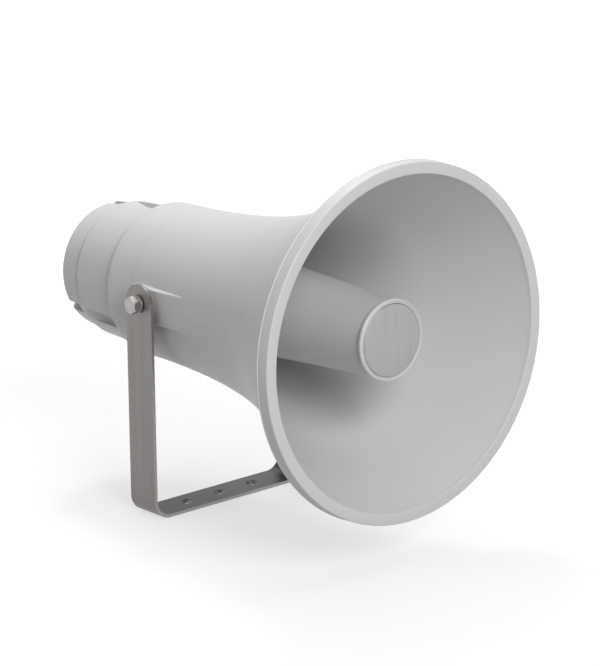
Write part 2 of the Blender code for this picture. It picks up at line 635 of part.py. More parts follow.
def throat_tube(parent):
    """The tube that carries the sound forward, with its flanged foot and three pillars."""
    foot_front = FLANGE_REAR - FOOT_LENGTH - BELL_WALL
    bore = [(throat_radius(depth), depth)
            for depth in (THROAT_REAR + (THROAT_FRONT - THROAT_REAR) * step / 5 for step in range(6))]
    outside = [(throat_radius(depth) + THROAT_WALL, depth)
               for depth in (THROAT_FRONT + (foot_front - THROAT_FRONT) * step / 4 for step in range(4))]
    reach = FLANGE_RADIUS - throat_radius(foot_front) - THROAT_WALL
    foot = arc((FLANGE_RADIUS, foot_front), (reach, FOOT_LENGTH), 180, 90, 4)
    profile = bore + outside + foot + [(FLANGE_RADIUS, FLANGE_REAR), (SPIGOT_RADIUS, FLANGE_REAR),
                                       (SPIGOT_RADIUS, THROAT_REAR)]
    tube = piece("throat_tube", lathe(profile, INNER_STEPS, True), FINISHES["inner_plastic"], parent)
    pillars = bmesh.new()
    for clock in SCREW_CLOCKS:
        rod(pillars, polar(PILLAR_CIRCLE, clock, BULLET_LAND + SEAT_GAP),
            polar(PILLAR_CIRCLE, clock, THROAT_FRONT + PILLAR_OVERLAP), PILLAR_RADIUS)
    combine(tube, tool("tube_pillars", pillars, parent), "UNION")
    holes = bmesh.new()
    for clock in SCREW_CLOCKS:
        rod(holes, polar(PILLAR_CIRCLE, clock, BULLET_LAND - OVERCUT),
            polar(PILLAR_CIRCLE, clock, BULLET_LAND + BULLET_SCREW_BITE + OVERCUT),
            SCREW_CLEARANCE, SCREW_STEPS)
        rod(holes, polar(FLANGE_SCREW_CIRCLE, clock, FLANGE_SEAT),
            polar(FLANGE_SCREW_CIRCLE, clock, FLANGE_REAR + OVERCUT), SCREW_CLEARANCE, SCREW_STEPS)
    combine(tube, tool("tube_screw_holes", holes, parent), "DIFFERENCE")
    seats = bmesh.new()
    for clock in SCREW_CLOCKS:
        rod(seats, polar(FLANGE_SCREW_CIRCLE, clock, foot_front - FOOT_LENGTH / 4),
            polar(FLANGE_SCREW_CIRCLE, clock, FLANGE_SEAT + SEAT_GAP / 2),
            SMALL_SCREW_RADIUS * SCREW_HEAD_RATIO + SEAT_GAP)
    combine(tube, tool("tube_screw_seats", seats, parent), "DIFFERENCE")


# %% Bullet
def bullet_radius(depth):
    """The outside of the bullet, which widens towards the rear."""
    return BULLET_FRONT_RADIUS + math.tan(BULLET_TAPER) * (depth - BULLET_FRONT)


def bullet(parent):
    """The bullet: a closed nose with a recess for the badge, a long wall and an open rear."""
    land_radius = PILLAR_CIRCLE + PILLAR_RADIUS + SEAT_GAP
    dish_radius = bullet_radius(BULLET_LAND + BULLET_DISH) - BULLET_WALL
    rear_round = BULLET_WALL / 2
    rear_radius = bullet_radius(BULLET_REAR) - rear_round
    profile = [(0, BADGE_FLOOR), (BADGE_RADIUS + SEAT_GAP, BADGE_FLOOR),
               (BADGE_RADIUS + SEAT_GAP, BULLET_FRONT)]
    profile += arc((BULLET_FRONT_RADIUS - BULLET_ROUND, BULLET_FRONT + BULLET_ROUND),
                   (BULLET_ROUND, BULLET_ROUND), -90, 0, 2)
    profile += arc((rear_radius, BULLET_REAR - rear_round), (rear_round, rear_round), 0, 180, 2)
    profile += arc((land_radius, BULLET_LAND + BULLET_DISH),
                   (dish_radius - land_radius, BULLET_DISH), 0, -90, 3)
    inner_land = PILLAR_CIRCLE - PILLAR_RADIUS - SEAT_GAP
    profile.append((inner_land, BULLET_LAND))
    profile += [(inner_land * out, BULLET_LAND + CONE_TIP_LENGTH * back) for out, back in CONE_TIP_STEPS]
    profile.append((0, BULLET_LAND + CONE_TIP_LENGTH))
    body = piece("bullet", lathe(profile), FINISHES["horn_plastic"], parent)
    holes = bmesh.new()
    for clock in SCREW_CLOCKS:
        rod(holes, polar(PILLAR_CIRCLE, clock, BULLET_SCREW_SEAT - SEAT_GAP / 2),
            polar(PILLAR_CIRCLE, clock, BULLET_LAND + OVERCUT), SCREW_CLEARANCE, SCREW_STEPS)
    combine(body, tool("bullet_holes", holes, parent), "DIFFERENCE")
    seats = bmesh.new()
    for clock in SCREW_CLOCKS:
        rod(seats, polar(PILLAR_CIRCLE, clock, BADGE_FLOOR - BADGE_RECESS / 2),
            polar(PILLAR_CIRCLE, clock, BULLET_SCREW_SEAT),
            SMALL_SCREW_RADIUS * SCREW_HEAD_RATIO + SEAT_GAP)
    combine(body, tool("bullet_screw_seats", seats, parent), "DIFFERENCE")


def badge_disc(parent):
    """The plain aluminium disc that covers the bullet's screws."""
    rear = BADGE_FLOOR - SEAT_GAP
    front = rear - BADGE_THICKNESS
    edge = BADGE_EDGE / 4
    profile = [(0, front), (BADGE_RADIUS - edge, front), (BADGE_RADIUS, front + edge),
               (BADGE_RADIUS, rear), (0, rear)]
    piece("badge_disc", lathe(profile), FINISHES["aluminium"], parent)


def path_screws(parent):
    """The screws of the folded path: bullet to pillars, and throat flange to dished wall."""
    for number, clock in enumerate(SCREW_CLOCKS, 1):
        length = BULLET_LAND - BULLET_SCREW_SEAT + BULLET_SCREW_BITE
        piece(f"bullet_screw_{number}", screw_shape(SMALL_SCREW_RADIUS, length),
              FINISHES["bolt_steel"], parent, polar(PILLAR_CIRCLE, clock, BULLET_SCREW_SEAT - SEAT_GAP))
        length = HUB_REAR - FLANGE_SEAT - BELL_WALL / 2
        piece(f"throat_screw_{number}", screw_shape(SMALL_SCREW_RADIUS, length),
              FINISHES["bolt_steel"], parent, polar(FLANGE_SCREW_CIRCLE, clock, FLANGE_SEAT - SEAT_GAP))


# %% Driver
def driver_front(parent):
    """The driver's front plate: conical throat, seat for the phase plug and three ears."""
    seat = PLATE_FRONT + PLUG_SEAT_DEPTH
    profile = [(THROAT_RADIUS, PLATE_FRONT), (DRIVER_RADIUS, PLATE_FRONT), (DRIVER_RADIUS, PLATE_REAR),
               (PLUG_RADIUS + SEAT_GAP, PLATE_REAR), (PLUG_RADIUS + SEAT_GAP, seat),
               (PLUG_RADIUS - BELL_WALL, seat)]
    plate = piece("driver_front", lathe(profile, INNER_STEPS, True), FINISHES["inner_plastic"], parent)
    ears = bmesh.new()
    for clock in POST_CLOCKS:
        rod(ears, polar(POST_CIRCLE, clock, PLATE_FRONT + SEAT_GAP / 3),
            polar(POST_CIRCLE, clock, PLATE_FRONT + EAR_THICKNESS), EAR_RADIUS)
    combine(plate, tool("plate_ears", ears, parent), "UNION")
    holes = bmesh.new()
    for clock in POST_CLOCKS:
        rod(holes, polar(POST_CIRCLE, clock, PLATE_FRONT - OVERCUT),
            polar(POST_CIRCLE, clock, PLATE_REAR), SCREW_CLEARANCE, SCREW_STEPS)
    motor_holes(holes, PLATE_FRONT - OVERCUT, PLATE_REAR + OVERCUT)
    combine(plate, tool("plate_holes", holes, parent), "DIFFERENCE")
    for number, clock in enumerate(POST_CLOCKS, 1):
        piece(f"driver_screw_{number}", screw_shape(SMALL_SCREW_RADIUS, EAR_THICKNESS + POST_HEIGHT),
              FINISHES["bolt_steel"], parent,
              polar(POST_CIRCLE, clock, PLATE_FRONT + EAR_THICKNESS + SEAT_GAP), (0, 0, math.pi))


def motor_holes(bm, front, rear):
    """Adds the through holes that the motor screws share."""
    for clock in SCREW_CLOCKS:
        rod(bm, polar(MOTOR_SCREW_CIRCLE, clock, front), polar(MOTOR_SCREW_CIRCLE, clock, rear),
            SCREW_CLEARANCE, SCREW_STEPS)


def motor_screws(parent):
    """The screws that hold the front plate, diaphragm ring and pole plate together."""
    length = POLE_PLATE_REAR - PLATE_FRONT - SEAT_GAP * 3
    for number, clock in enumerate(SCREW_CLOCKS, 1):
        piece(f"motor_screw_{number}", screw_shape(SMALL_SCREW_RADIUS, length), FINISHES["bolt_steel"],
              parent, polar(MOTOR_SCREW_CIRCLE, clock, PLATE_FRONT - SEAT_GAP))


def phase_plug(parent):
    """The slotted plug in front of the diaphragm, hollowed to match its dome."""
    front = PLATE_FRONT + PLUG_SEAT_DEPTH + SEAT_GAP
    hollow = DIAPHRAGM_EDGE - DOME_RISE - DIAPHRAGM_TRAVEL * 2
    rear = PLATE_REAR - SEAT_GAP
    profile = [(0, PLATE_FRONT + PLUG_TIP)]
    profile += [(radius, PLATE_FRONT + depth) for radius, depth in PLUG_TIP_STEPS]
    profile += [(PLUG_RADIUS, front), (PLUG_RADIUS, rear)]
    profile += arc((0, rear), (DOME_RADIUS, hollow - rear), 0, 90, 4)
    plug = piece("phase_plug", lathe(profile, INNER_STEPS), FINISHES["resin"], parent)
    slots = bmesh.new()
    for number in range(PLUG_SLOTS):
        block(slots, (-PLUG_SLOT_WIDTH / 2, PLATE_FRONT, PLUG_SLOT_REACH[0]),
              (PLUG_SLOT_WIDTH / 2, PLATE_REAR + OVERCUT, PLUG_SLOT_REACH[1]),
              360 * (number + 0.5) / PLUG_SLOTS)
    combine(plug, tool("plug_slots", slots, parent), "DIFFERENCE")


def diaphragm(parent):
    """The domed diaphragm with its flat surround, and the voice coil behind it."""
    edge = DIAPHRAGM_EDGE
    front_dome = arc((0, edge), (DOME_RADIUS, -DOME_RISE), 90, 0, 4)
    rear_dome = [(radius, depth + DIAPHRAGM_THICKNESS) for radius, depth in reversed(front_dome)]
    profile = front_dome + [(DIAPHRAGM_RADIUS, edge), (DIAPHRAGM_RADIUS, edge + DIAPHRAGM_THICKNESS)]
    piece("diaphragm", lathe(profile + rear_dome, INNER_STEPS), FINISHES["resin"], parent)
    coil_front = edge + DIAPHRAGM_THICKNESS + SEAT_GAP
    piece("voice_coil", ring(COIL_RADIUS, COIL_RADIUS + COIL_WALL, coil_front, coil_front + COIL_LENGTH,
                             INNER_STEPS), FINISHES["copper"], parent)


def motor(parent):
    """Diaphragm ring, pole plate, magnet, and back plate with its pole."""
    for name, bore, outer, front, rear, material in (
            ("diaphragm_ring", RING_BORE, DRIVER_RADIUS, RING_FRONT, RING_REAR, "inner_plastic"),
            ("pole_plate", POLE_PLATE_BORE, DRIVER_RADIUS, POLE_PLATE_FRONT, POLE_PLATE_REAR,
             "plated_iron")):
        plate = piece(name, ring(bore, outer, front, rear, INNER_STEPS), FINISHES[material], parent)
        holes = bmesh.new()
        motor_holes(holes, front - OVERCUT, rear + OVERCUT)
        combine(plate, tool(name + "_holes", holes, parent), "DIFFERENCE")
    piece("magnet", ring(POLE_PLATE_BORE + MAGNET_INSET, MAGNET_RADIUS, MAGNET_FRONT, MAGNET_REAR,
                         INNER_STEPS), FINISHES["ferrite"], parent)
    pole_front = DIAPHRAGM_EDGE + DIAPHRAGM_THICKNESS + DIAPHRAGM_TRAVEL * 2 + SEAT_GAP * 4
    profile = [(0, pole_front), (POLE_RADIUS, pole_front), (POLE_RADIUS, BACK_PLATE_FRONT),
               (MAGNET_RADIUS, BACK_PLATE_FRONT), (MAGNET_RADIUS, BACK_PLATE_REAR), (0, BACK_PLATE_REAR)]
    back = piece("back_plate", lathe(profile, INNER_STEPS), FINISHES["plated_iron"], parent)
    holes = bmesh.new()
    for side in (-1, 1):
        rod(holes, (0, BACK_PLATE_FRONT + BACK_PLATE_THICKNESS / 3, side * FRAME_SCREW_HEIGHT),
            (0, BACK_PLATE_REAR + OVERCUT, side * FRAME_SCREW_HEIGHT), SCREW_CLEARANCE, SCREW_STEPS)
    combine(back, tool("back_plate_holes", holes, parent), "DIFFERENCE")


def throat_gasket(parent):
    """The soft ring between the hub of the dished wall and the driver."""
    piece("throat_gasket", ring(THROAT_RADIUS, FLANGE_RADIUS, GASKET_FRONT,
                                GASKET_FRONT + GASKET_THICKNESS, INNER_STEPS), FINISHES["rubber"], parent)


# %% Line transformer
def transformer_frame(parent):
    """The folded frame that holds the core on the back plate, with an ear at each end."""
    bm = bmesh.new()
    reach = CORE_HEIGHT / 2 + SEAT_GAP
    half = CORE_WIDTH / 2
    rear = FRAME_FRONT + FRAME_SHEET
    outline = [(-half, FRAME_FRONT, -reach - FRAME_SHEET - FRAME_EAR),
               (-half, rear, -reach - FRAME_SHEET - FRAME_EAR), (-half, rear, -reach - FRAME_SHEET),
               (-half, rear + FRAME_TAB, -reach - FRAME_SHEET), (-half, rear + FRAME_TAB, -reach),
               (-half, rear, -reach), (-half, rear, reach), (-half, rear + FRAME_TAB, reach),
               (-half, rear + FRAME_TAB, reach + FRAME_SHEET), (-half, rear, reach + FRAME_SHEET),
               (-half, rear, reach + FRAME_SHEET + FRAME_EAR),
               (-half, FRAME_FRONT, reach + FRAME_SHEET + FRAME_EAR)]
    prism(bm, outline, (CORE_WIDTH, 0, 0))
    frame = piece("transformer_frame", bm, FINISHES["plated_iron"], parent)
    holes = bmesh.new()
    for side in (-1, 1):
        rod(holes, (0, FRAME_FRONT - OVERCUT, side * FRAME_SCREW_HEIGHT),
            (0, rear + OVERCUT, side * FRAME_SCREW_HEIGHT), SCREW_CLEARANCE, SCREW_STEPS)
    combine(frame, tool("frame_holes", holes, parent), "DIFFERENCE")
    for number, side in enumerate((-1, 1), 1):
        piece(f"frame_screw_{number}", screw_shape(SMALL_SCREW_RADIUS, BACK_PLATE_THICKNESS * 0.8),
              FINISHES["bolt_steel"], parent, (0, rear + SEAT_GAP, side * FRAME_SCREW_HEIGHT),
              (0, 0, math.pi))


def transformer(parent):
    """The laminated core, the bobbin on its middle leg and the winding on the bobbin."""
    half_width = CORE_WIDTH / 2
    half_height = CORE_HEIGHT / 2
    window_top = half_height - CORE_LEG
    core = bmesh.new()
    block(core, (-half_width, CORE_FRONT, -half_height), (half_width, CORE_REAR, half_height))
    laminated = piece("transformer_core", core, FINISHES["plated_iron"], parent)
    windows = bmesh.new()
    for side in (-1, 1):
        middle = CORE_MIDDLE + side * (CORE_LEG + CORE_WINDOW / 2)
        block(windows, (-CORE_WIDTH, middle - CORE_WINDOW / 2, -window_top),
              (CORE_WIDTH, middle + CORE_WINDOW / 2, window_top))
    combine(laminated, tool("core_windows", windows, parent), "DIFFERENCE")
    bobbin_top = window_top - SEAT_GAP
    flange_reach = CORE_LEG + CORE_WINDOW - SEAT_GAP
    side_reach = half_width + BOBBIN_OVERHANG
    spool = bmesh.new()
    block(spool, (-side_reach, CORE_MIDDLE - flange_reach, -bobbin_top),
          (side_reach, CORE_MIDDLE + flange_reach, bobbin_top))
    bobbin = piece("transformer_bobbin", spool, FINISHES["nylon"], parent)
    bore = half_width + SEAT_GAP
    leg_reach = CORE_LEG + SEAT_GAP
    waist = box_ring((bore + BOBBIN_WALL, leg_reach + BOBBIN_WALL),
                     (side_reach * 2, flange_reach * 2), bobbin_top - BOBBIN_WALL)
    combine(bobbin, tool("bobbin_waist", waist, parent), "DIFFERENCE")
    opening = bmesh.new()
    block(opening, (-bore, CORE_MIDDLE - leg_reach, -half_height),
          (bore, CORE_MIDDLE + leg_reach, half_height))
    combine(bobbin, tool("bobbin_bore", opening, parent), "DIFFERENCE")
    winding = box_ring((bore + BOBBIN_WALL + SEAT_GAP, leg_reach + BOBBIN_WALL + SEAT_GAP),
                       (side_reach - SEAT_GAP, flange_reach - SEAT_GAP),
                       bobbin_top - BOBBIN_WALL - SEAT_GAP)
    piece("transformer_winding", winding, FINISHES["copper"], parent)


def box_ring(inner, outer, half_height):
    """A square ring about the core's middle leg, from its inner and outer half sizes in x and depth."""
    bm = bmesh.new()
    loops = []
    for half_x, half_depth in (inner, outer):
        for height in (-half_height, half_height):
            loops.append([bm.verts.new((x * half_x, CORE_MIDDLE + depth * half_depth, height))
                          for x, depth in ((-1, -1), (1, -1), (1, 1), (-1, 1))])
    inner_low, inner_high, outer_low, outer_high = loops
    for first, second in ((inner_low, inner_high), (inner_high, outer_high),
                          (outer_high, outer_low), (outer_low, inner_low)):
        for corner in range(4):
            following = (corner + 1) % 4
            bm.faces.new((first[corner], first[following], second[following], second[corner]))
    return bm


def terminals(parent):
    """The terminal block behind the core, with a screw in each way."""
    width, depth, height = TERMINAL_SIZE
    bm = bmesh.new()
    block(bm, (-width / 2, TERMINAL_FRONT, -height / 2),
          (width / 2, TERMINAL_FRONT + depth, height / 2))
    body = piece("terminal_block", bm, FINISHES["nylon"], parent)
    wells = bmesh.new()
    pitch = width / TERMINAL_WAYS
    floor = TERMINAL_FRONT + depth - TERMINAL_WELL_DEPTH
    for way in range(TERMINAL_WAYS):
        place = (way - (TERMINAL_WAYS - 1) / 2) * pitch
        rod(wells, (place, floor, 0), (place, TERMINAL_FRONT + depth + OVERCUT, 0),
            TERMINAL_WELL_RADIUS)
        screw = bmesh.new()
        rod(screw, (0, 0, 0), (0, TERMINAL_SCREW_HEIGHT, 0), TERMINAL_WELL_RADIUS - SEAT_GAP)
        piece(f"terminal_screw_{way + 1}", screw, FINISHES["brass"], parent,
              (place, floor + SEAT_GAP, 0))
    combine(body, tool("terminal_wells", wells, parent), "DIFFERENCE")


# %% Driver housing
def housing_screw_tubes(bm, front, rear, radius, steps=BOSS_STEPS):
    """Adds one rod for each long housing screw."""
    for clock in SCREW_CLOCKS:
        rod(bm, polar(SCREW_CIRCLE, clock, front), polar(SCREW_CIRCLE, clock, rear), radius, steps)


def channel_bars(width, floor, front, rear, top):
    """Bars along the three screw channels, each ending in a slope at the rear."""
    bm = bmesh.new()
    slope = (top - floor) * CHANNEL_SLOPE
    for clock in SCREW_CLOCKS:
        outline = [(-width / 2, front, floor), (-width / 2, rear - slope, floor),
                   (-width / 2, rear, top), (-width / 2, front, top)]
        prism(bm, outline, (width, 0, 0), clock)
    bmesh.ops.recalc_face_normals(bm, faces=bm.faces)
    return bm


def driver_housing(parent):
    """The middle housing: a tapered shell with three sunk channels over its screw tubes."""
    profile = [(0, HOUSING_FRONT), (HOUSING_RADIUS, HOUSING_FRONT), (HOUSING_RADIUS, COLLAR_END),
               (HOUSING_REAR_RADIUS, HOUSING_END), (0, HOUSING_END)]
    shell = piece("driver_housing", lathe(profile, HOUSING_STEPS), FINISHES["horn_plastic"], parent)
    lip_radius = HOUSING_REAR_RADIUS - HOUSING_LIP
    profile = [(0, HOUSING_FRONT - OVERCUT), (HOUSING_RADIUS - HOUSING_WALL, HOUSING_FRONT - OVERCUT),
               (HOUSING_RADIUS - HOUSING_WALL, COLLAR_END),
               (HOUSING_REAR_RADIUS - HOUSING_WALL, HOUSING_LIP_FRONT), (lip_radius, HOUSING_LIP_FRONT),
               (lip_radius, HOUSING_END + OVERCUT), (0, HOUSING_END + OVERCUT)]
    inside = tool("housing_inside", lathe(profile, HOUSING_STEPS), parent)
    floor = SCREW_CIRCLE + CHANNEL_FLOOR
    liners = channel_bars(CHANNEL_WIDTH + 2 * CHANNEL_WALL, floor - CHANNEL_WALL,
                          COLLAR_END - CHANNEL_WALL, CHANNEL_END + CHANNEL_WALL,
                          CHANNEL_TOP)
    combine(inside, tool("housing_liners", liners, parent), "DIFFERENCE")
    webs = bmesh.new()
    for clock in SCREW_CLOCKS:
        block(webs, (-TUBE_RADIUS / 2, HOUSING_FRONT - OVERCUT * 2, SCREW_CIRCLE),
              (TUBE_RADIUS / 2, HOUSING_END + OVERCUT * 2, HOUSING_RADIUS), clock)
    combine(inside, tool("housing_webs", webs, parent), "DIFFERENCE")
    tubes = bmesh.new()
    housing_screw_tubes(tubes, HOUSING_FRONT - OVERCUT * 2, HOUSING_END + OVERCUT * 2, TUBE_RADIUS)
    combine(inside, tool("housing_tubes", tubes, parent), "DIFFERENCE")
    combine(shell, inside, "DIFFERENCE")
    channels = channel_bars(CHANNEL_WIDTH, floor, COLLAR_END + SEAT_GAP * 2, CHANNEL_END, CHANNEL_TOP)
    bottom = [edge for edge in channels.edges
              if all(math.hypot(vert.co.x, vert.co.z) < floor + CHANNEL_WIDTH * 0.1
                     for vert in edge.verts)]
    bmesh.ops.bevel(channels, geom=bottom, offset=CHANNEL_ROUND, segments=2, profile=0.5, affect="EDGES")
    combine(shell, tool("housing_channels", channels, parent), "DIFFERENCE")
    bores = bmesh.new()
    housing_screw_tubes(bores, HOUSING_FRONT - OVERCUT, HOUSING_END + OVERCUT, HOUSING_SCREW_CLEARANCE)
    combine(shell, tool("housing_bores", bores, parent), "DIFFERENCE")


def housing_seals(parent):
    """The soft rings in front of and behind the driver housing."""
    piece("front_seal", ring(LEDGE_RADIUS + SEAT_GAP, HOUSING_RADIUS, SEAL_FRONT,
                             SEAL_FRONT + SEAL_THICKNESS, HOUSING_STEPS), FINISHES["rubber"], parent)
    piece("rear_seal", ring(HOUSING_REAR_RADIUS - HOUSING_LIP + SEAT_GAP, CAP_RADIUS - SEAT_GAP * 2,
                            REAR_SEAL_FRONT, REAR_SEAL_FRONT + SEAL_THICKNESS, HOUSING_STEPS),
          FINISHES["rubber"], parent)


# %% Back cap
def cap_profile(inset, rear):
    """The turned outline of the back cap, set in by inset, from its front edge to its rear face."""
    corner_radius = CAP_REAR_RADIUS - CAP_ROUND
    corner_depth = CAP_REAR - CAP_ROUND
    return [(CAP_RADIUS - inset, CAP_FRONT)] + arc(
        (corner_radius, corner_depth), (CAP_ROUND - inset, rear - corner_depth), 0, 90, 4)


def pocket_outline(radius):
    """The outline of a screw pocket that opens outwards, seen along the horn's axis."""
    points = []
    for step in range(9):
        angle = math.radians(180 + 180 * step / 8)
        points.append((radius * math.cos(angle), SCREW_CIRCLE + radius * math.sin(angle)))
    return points + [(radius, CAP_RADIUS + OVERCUT), (-radius, CAP_RADIUS + OVERCUT)]


def pockets(radius, front, rear):
    """Bars with the pocket's outline at the three screws."""
    bm = bmesh.new()
    for clock in SCREW_CLOCKS:
        outline = [(x, front, height) for x, height in pocket_outline(radius)]
        prism(bm, outline, (0, rear - front, 0), clock)
    bmesh.ops.recalc_face_normals(bm, faces=bm.faces)
    return bm


def back_cap(parent):
    """The back cap: a rounded shell with three open screw pockets and small feet on its rear face."""
    outside = [(0, CAP_FRONT)] + cap_profile(0, CAP_REAR) + [(0, CAP_REAR)]
    shell = piece("back_cap", lathe(outside, HOUSING_STEPS), FINISHES["horn_plastic"], parent)
    hollow = [(0, CAP_FRONT - OVERCUT), (CAP_RADIUS - CAP_WALL, CAP_FRONT - OVERCUT)]
    hollow += cap_profile(CAP_WALL, CAP_INNER_REAR) + [(0, CAP_INNER_REAR)]
    inside = tool("cap_inside", lathe(hollow, HOUSING_STEPS), parent)
    liners = pockets(POCKET_RADIUS + POCKET_WALL, POCKET_FLOOR_DEPTH - CAP_WALL, CAP_REAR + OVERCUT)
    combine(inside, tool("cap_liners", liners, parent), "DIFFERENCE")
    combine(shell, inside, "DIFFERENCE")
    bosses = bmesh.new()
    housing_screw_tubes(bosses, HOUSING_END + SEAT_GAP, POCKET_FLOOR_DEPTH - CAP_WALL / 2, TUBE_RADIUS)
    combine(shell, tool("cap_bosses", bosses, parent), "UNION")
    feet = bmesh.new()
    foot_outer = CAP_REAR_RADIUS - REAR_FOOT_INSET
    for clock in FOOT_CLOCKS:
        block(feet, (-REAR_FOOT_LENGTH / 2, CAP_REAR - CAP_WALL / 2, foot_outer - REAR_FOOT_WIDTH),
              (REAR_FOOT_LENGTH / 2, CAP_REAR + REAR_FOOT_RISE, foot_outer), clock)
    combine(shell, tool("cap_feet", feet, parent), "UNION")
    cutters = pockets(POCKET_RADIUS, POCKET_FLOOR_DEPTH, CAP_REAR + OVERCUT)
    combine(shell, tool("cap_pockets", cutters, parent), "DIFFERENCE")
    bores = bmesh.new()
    housing_screw_tubes(bores, HOUSING_END - OVERCUT, POCKET_FLOOR_DEPTH + OVERCUT,
                        HOUSING_SCREW_CLEARANCE)
    rod(bores, (0, CAP_INNER_REAR - OVERCUT, -GLAND_DROP), (0, CAP_REAR + OVERCUT, -GLAND_DROP),
        GLAND_THREAD_RADIUS + SEAT_GAP, INNER_STEPS)
    combine(shell, tool("cap_bores", bores, parent), "DIFFERENCE")


def housing_screws(parent):
    """The three long screws from the cap's pockets to the brass inserts in the collar."""
    insert_rear = BOSS_REAR - SEAT_GAP
    insert_front = insert_rear - INSERT_LENGTH
    seat = POCKET_FLOOR_DEPTH + SEAT_GAP
    for number, clock in enumerate(SCREW_CLOCKS, 1):
        piece(f"housing_screw_{number}", screw_shape(HOUSING_SCREW_RADIUS, seat - insert_front - SEAT_GAP),
              FINISHES["bolt_steel"], parent, polar(SCREW_CIRCLE, clock, seat), (0, 0, math.pi))
        piece(f"housing_insert_{number}",
              ring(HOUSING_SCREW_CLEARANCE, INSERT_RADIUS, insert_front, insert_rear, BOSS_STEPS),
              FINISHES["brass"], parent, polar(SCREW_CIRCLE, clock, 0))


# %% Cable gland
def hexagon(bm, flats, front, rear):
    """Adds a hexagonal bar along +Y with the given width across its flats."""
    rod(bm, (0, front, 0), (0, rear, 0), flats / 2 / math.cos(math.radians(30)), 6)


def cable_gland(parent):
    """The gland in the back cap: body, inside locknut, rubber seal and outside nut."""
    at = (0, 0, -GLAND_DROP)
    neck_radius = GLAND_BORE + GLAND_NUT_WALL
    body_front = CAP_INNER_REAR - SEAT_GAP - LOCKNUT_THICKNESS - THREAD_OVERHANG
    body = piece("gland_body", ring(GLAND_BORE, GLAND_THREAD_RADIUS, body_front, GLAND_FACE, INNER_STEPS),
                 FINISHES["horn_plastic"], parent, at)
    flange = bmesh.new()
    hexagon(flange, GLAND_FLATS, GLAND_FACE, GLAND_FACE + GLAND_FLANGE)
    neck = bmesh.new()
    rod(neck, (0, GLAND_FACE + GLAND_FLANGE / 2, 0), (0, GLAND_NECK_REAR, 0), neck_radius, INNER_STEPS)
    bore = bmesh.new()
    rod(bore, (0, body_front - OVERCUT, 0), (0, GLAND_NECK_REAR + OVERCUT, 0), GLAND_BORE, INNER_STEPS)
    for name, shape, operation in (("gland_flange", flange, "UNION"), ("gland_neck", neck, "UNION"),
                                   ("gland_bore", bore, "DIFFERENCE")):
        cutter = tool(name, shape, parent)
        cutter.location = at
        combine(body, cutter, operation)
    seal_front = GLAND_NECK_REAR + SEAT_GAP
    seal_rear = seal_front + SEAL_THICKNESS
    piece("gland_seal", ring(GLAND_SEAL_BORE, neck_radius, seal_front, seal_rear, INNER_STEPS),
          FINISHES["rubber"], parent, at)
    nut_bore = neck_radius + SEAT_GAP
    nut_radius = nut_bore + GLAND_NUT_WALL
    nut = [(nut_bore, GLAND_NUT_FRONT), (nut_radius, GLAND_NUT_FRONT)]
    nut += arc((nut_radius - GLAND_NUT_WALL, GLAND_END - GLAND_NUT_WALL),
               (GLAND_NUT_WALL, GLAND_NUT_WALL), 0, 90, 4)
    nut += [(GLAND_BORE, GLAND_END), (GLAND_BORE, seal_rear + SEAT_GAP), (nut_bore, seal_rear + SEAT_GAP)]
    piece("gland_nut", lathe(nut, INNER_STEPS, True), FINISHES["horn_plastic"], parent, at)
    locknut = bmesh.new()
    hexagon(locknut, LOCKNUT_FLATS, CAP_INNER_REAR - SEAT_GAP - LOCKNUT_THICKNESS,
            CAP_INNER_REAR - SEAT_GAP)
    inner = piece("gland_locknut", locknut, FINISHES["inner_plastic"], parent, at)
    opening = bmesh.new()
    rod(opening, (0, CAP_INNER_REAR - GLAND_NECK, 0), (0, CAP_REAR, 0),
        GLAND_THREAD_RADIUS + SEAT_GAP, INNER_STEPS)
    cutter = tool("locknut_bore", opening, parent)
    cutter.location = at
    combine(inner, cutter, "DIFFERENCE")


# %% Pivots
def across(bm, side):
    """Turns a shape made along +Y so that it points outwards along side times +X."""
    bmesh.ops.rotate(bm, verts=bm.verts, cent=(0, 0, 0), matrix=Matrix.Rotation(-side * math.pi / 2, 3, "Z"))
    return bm


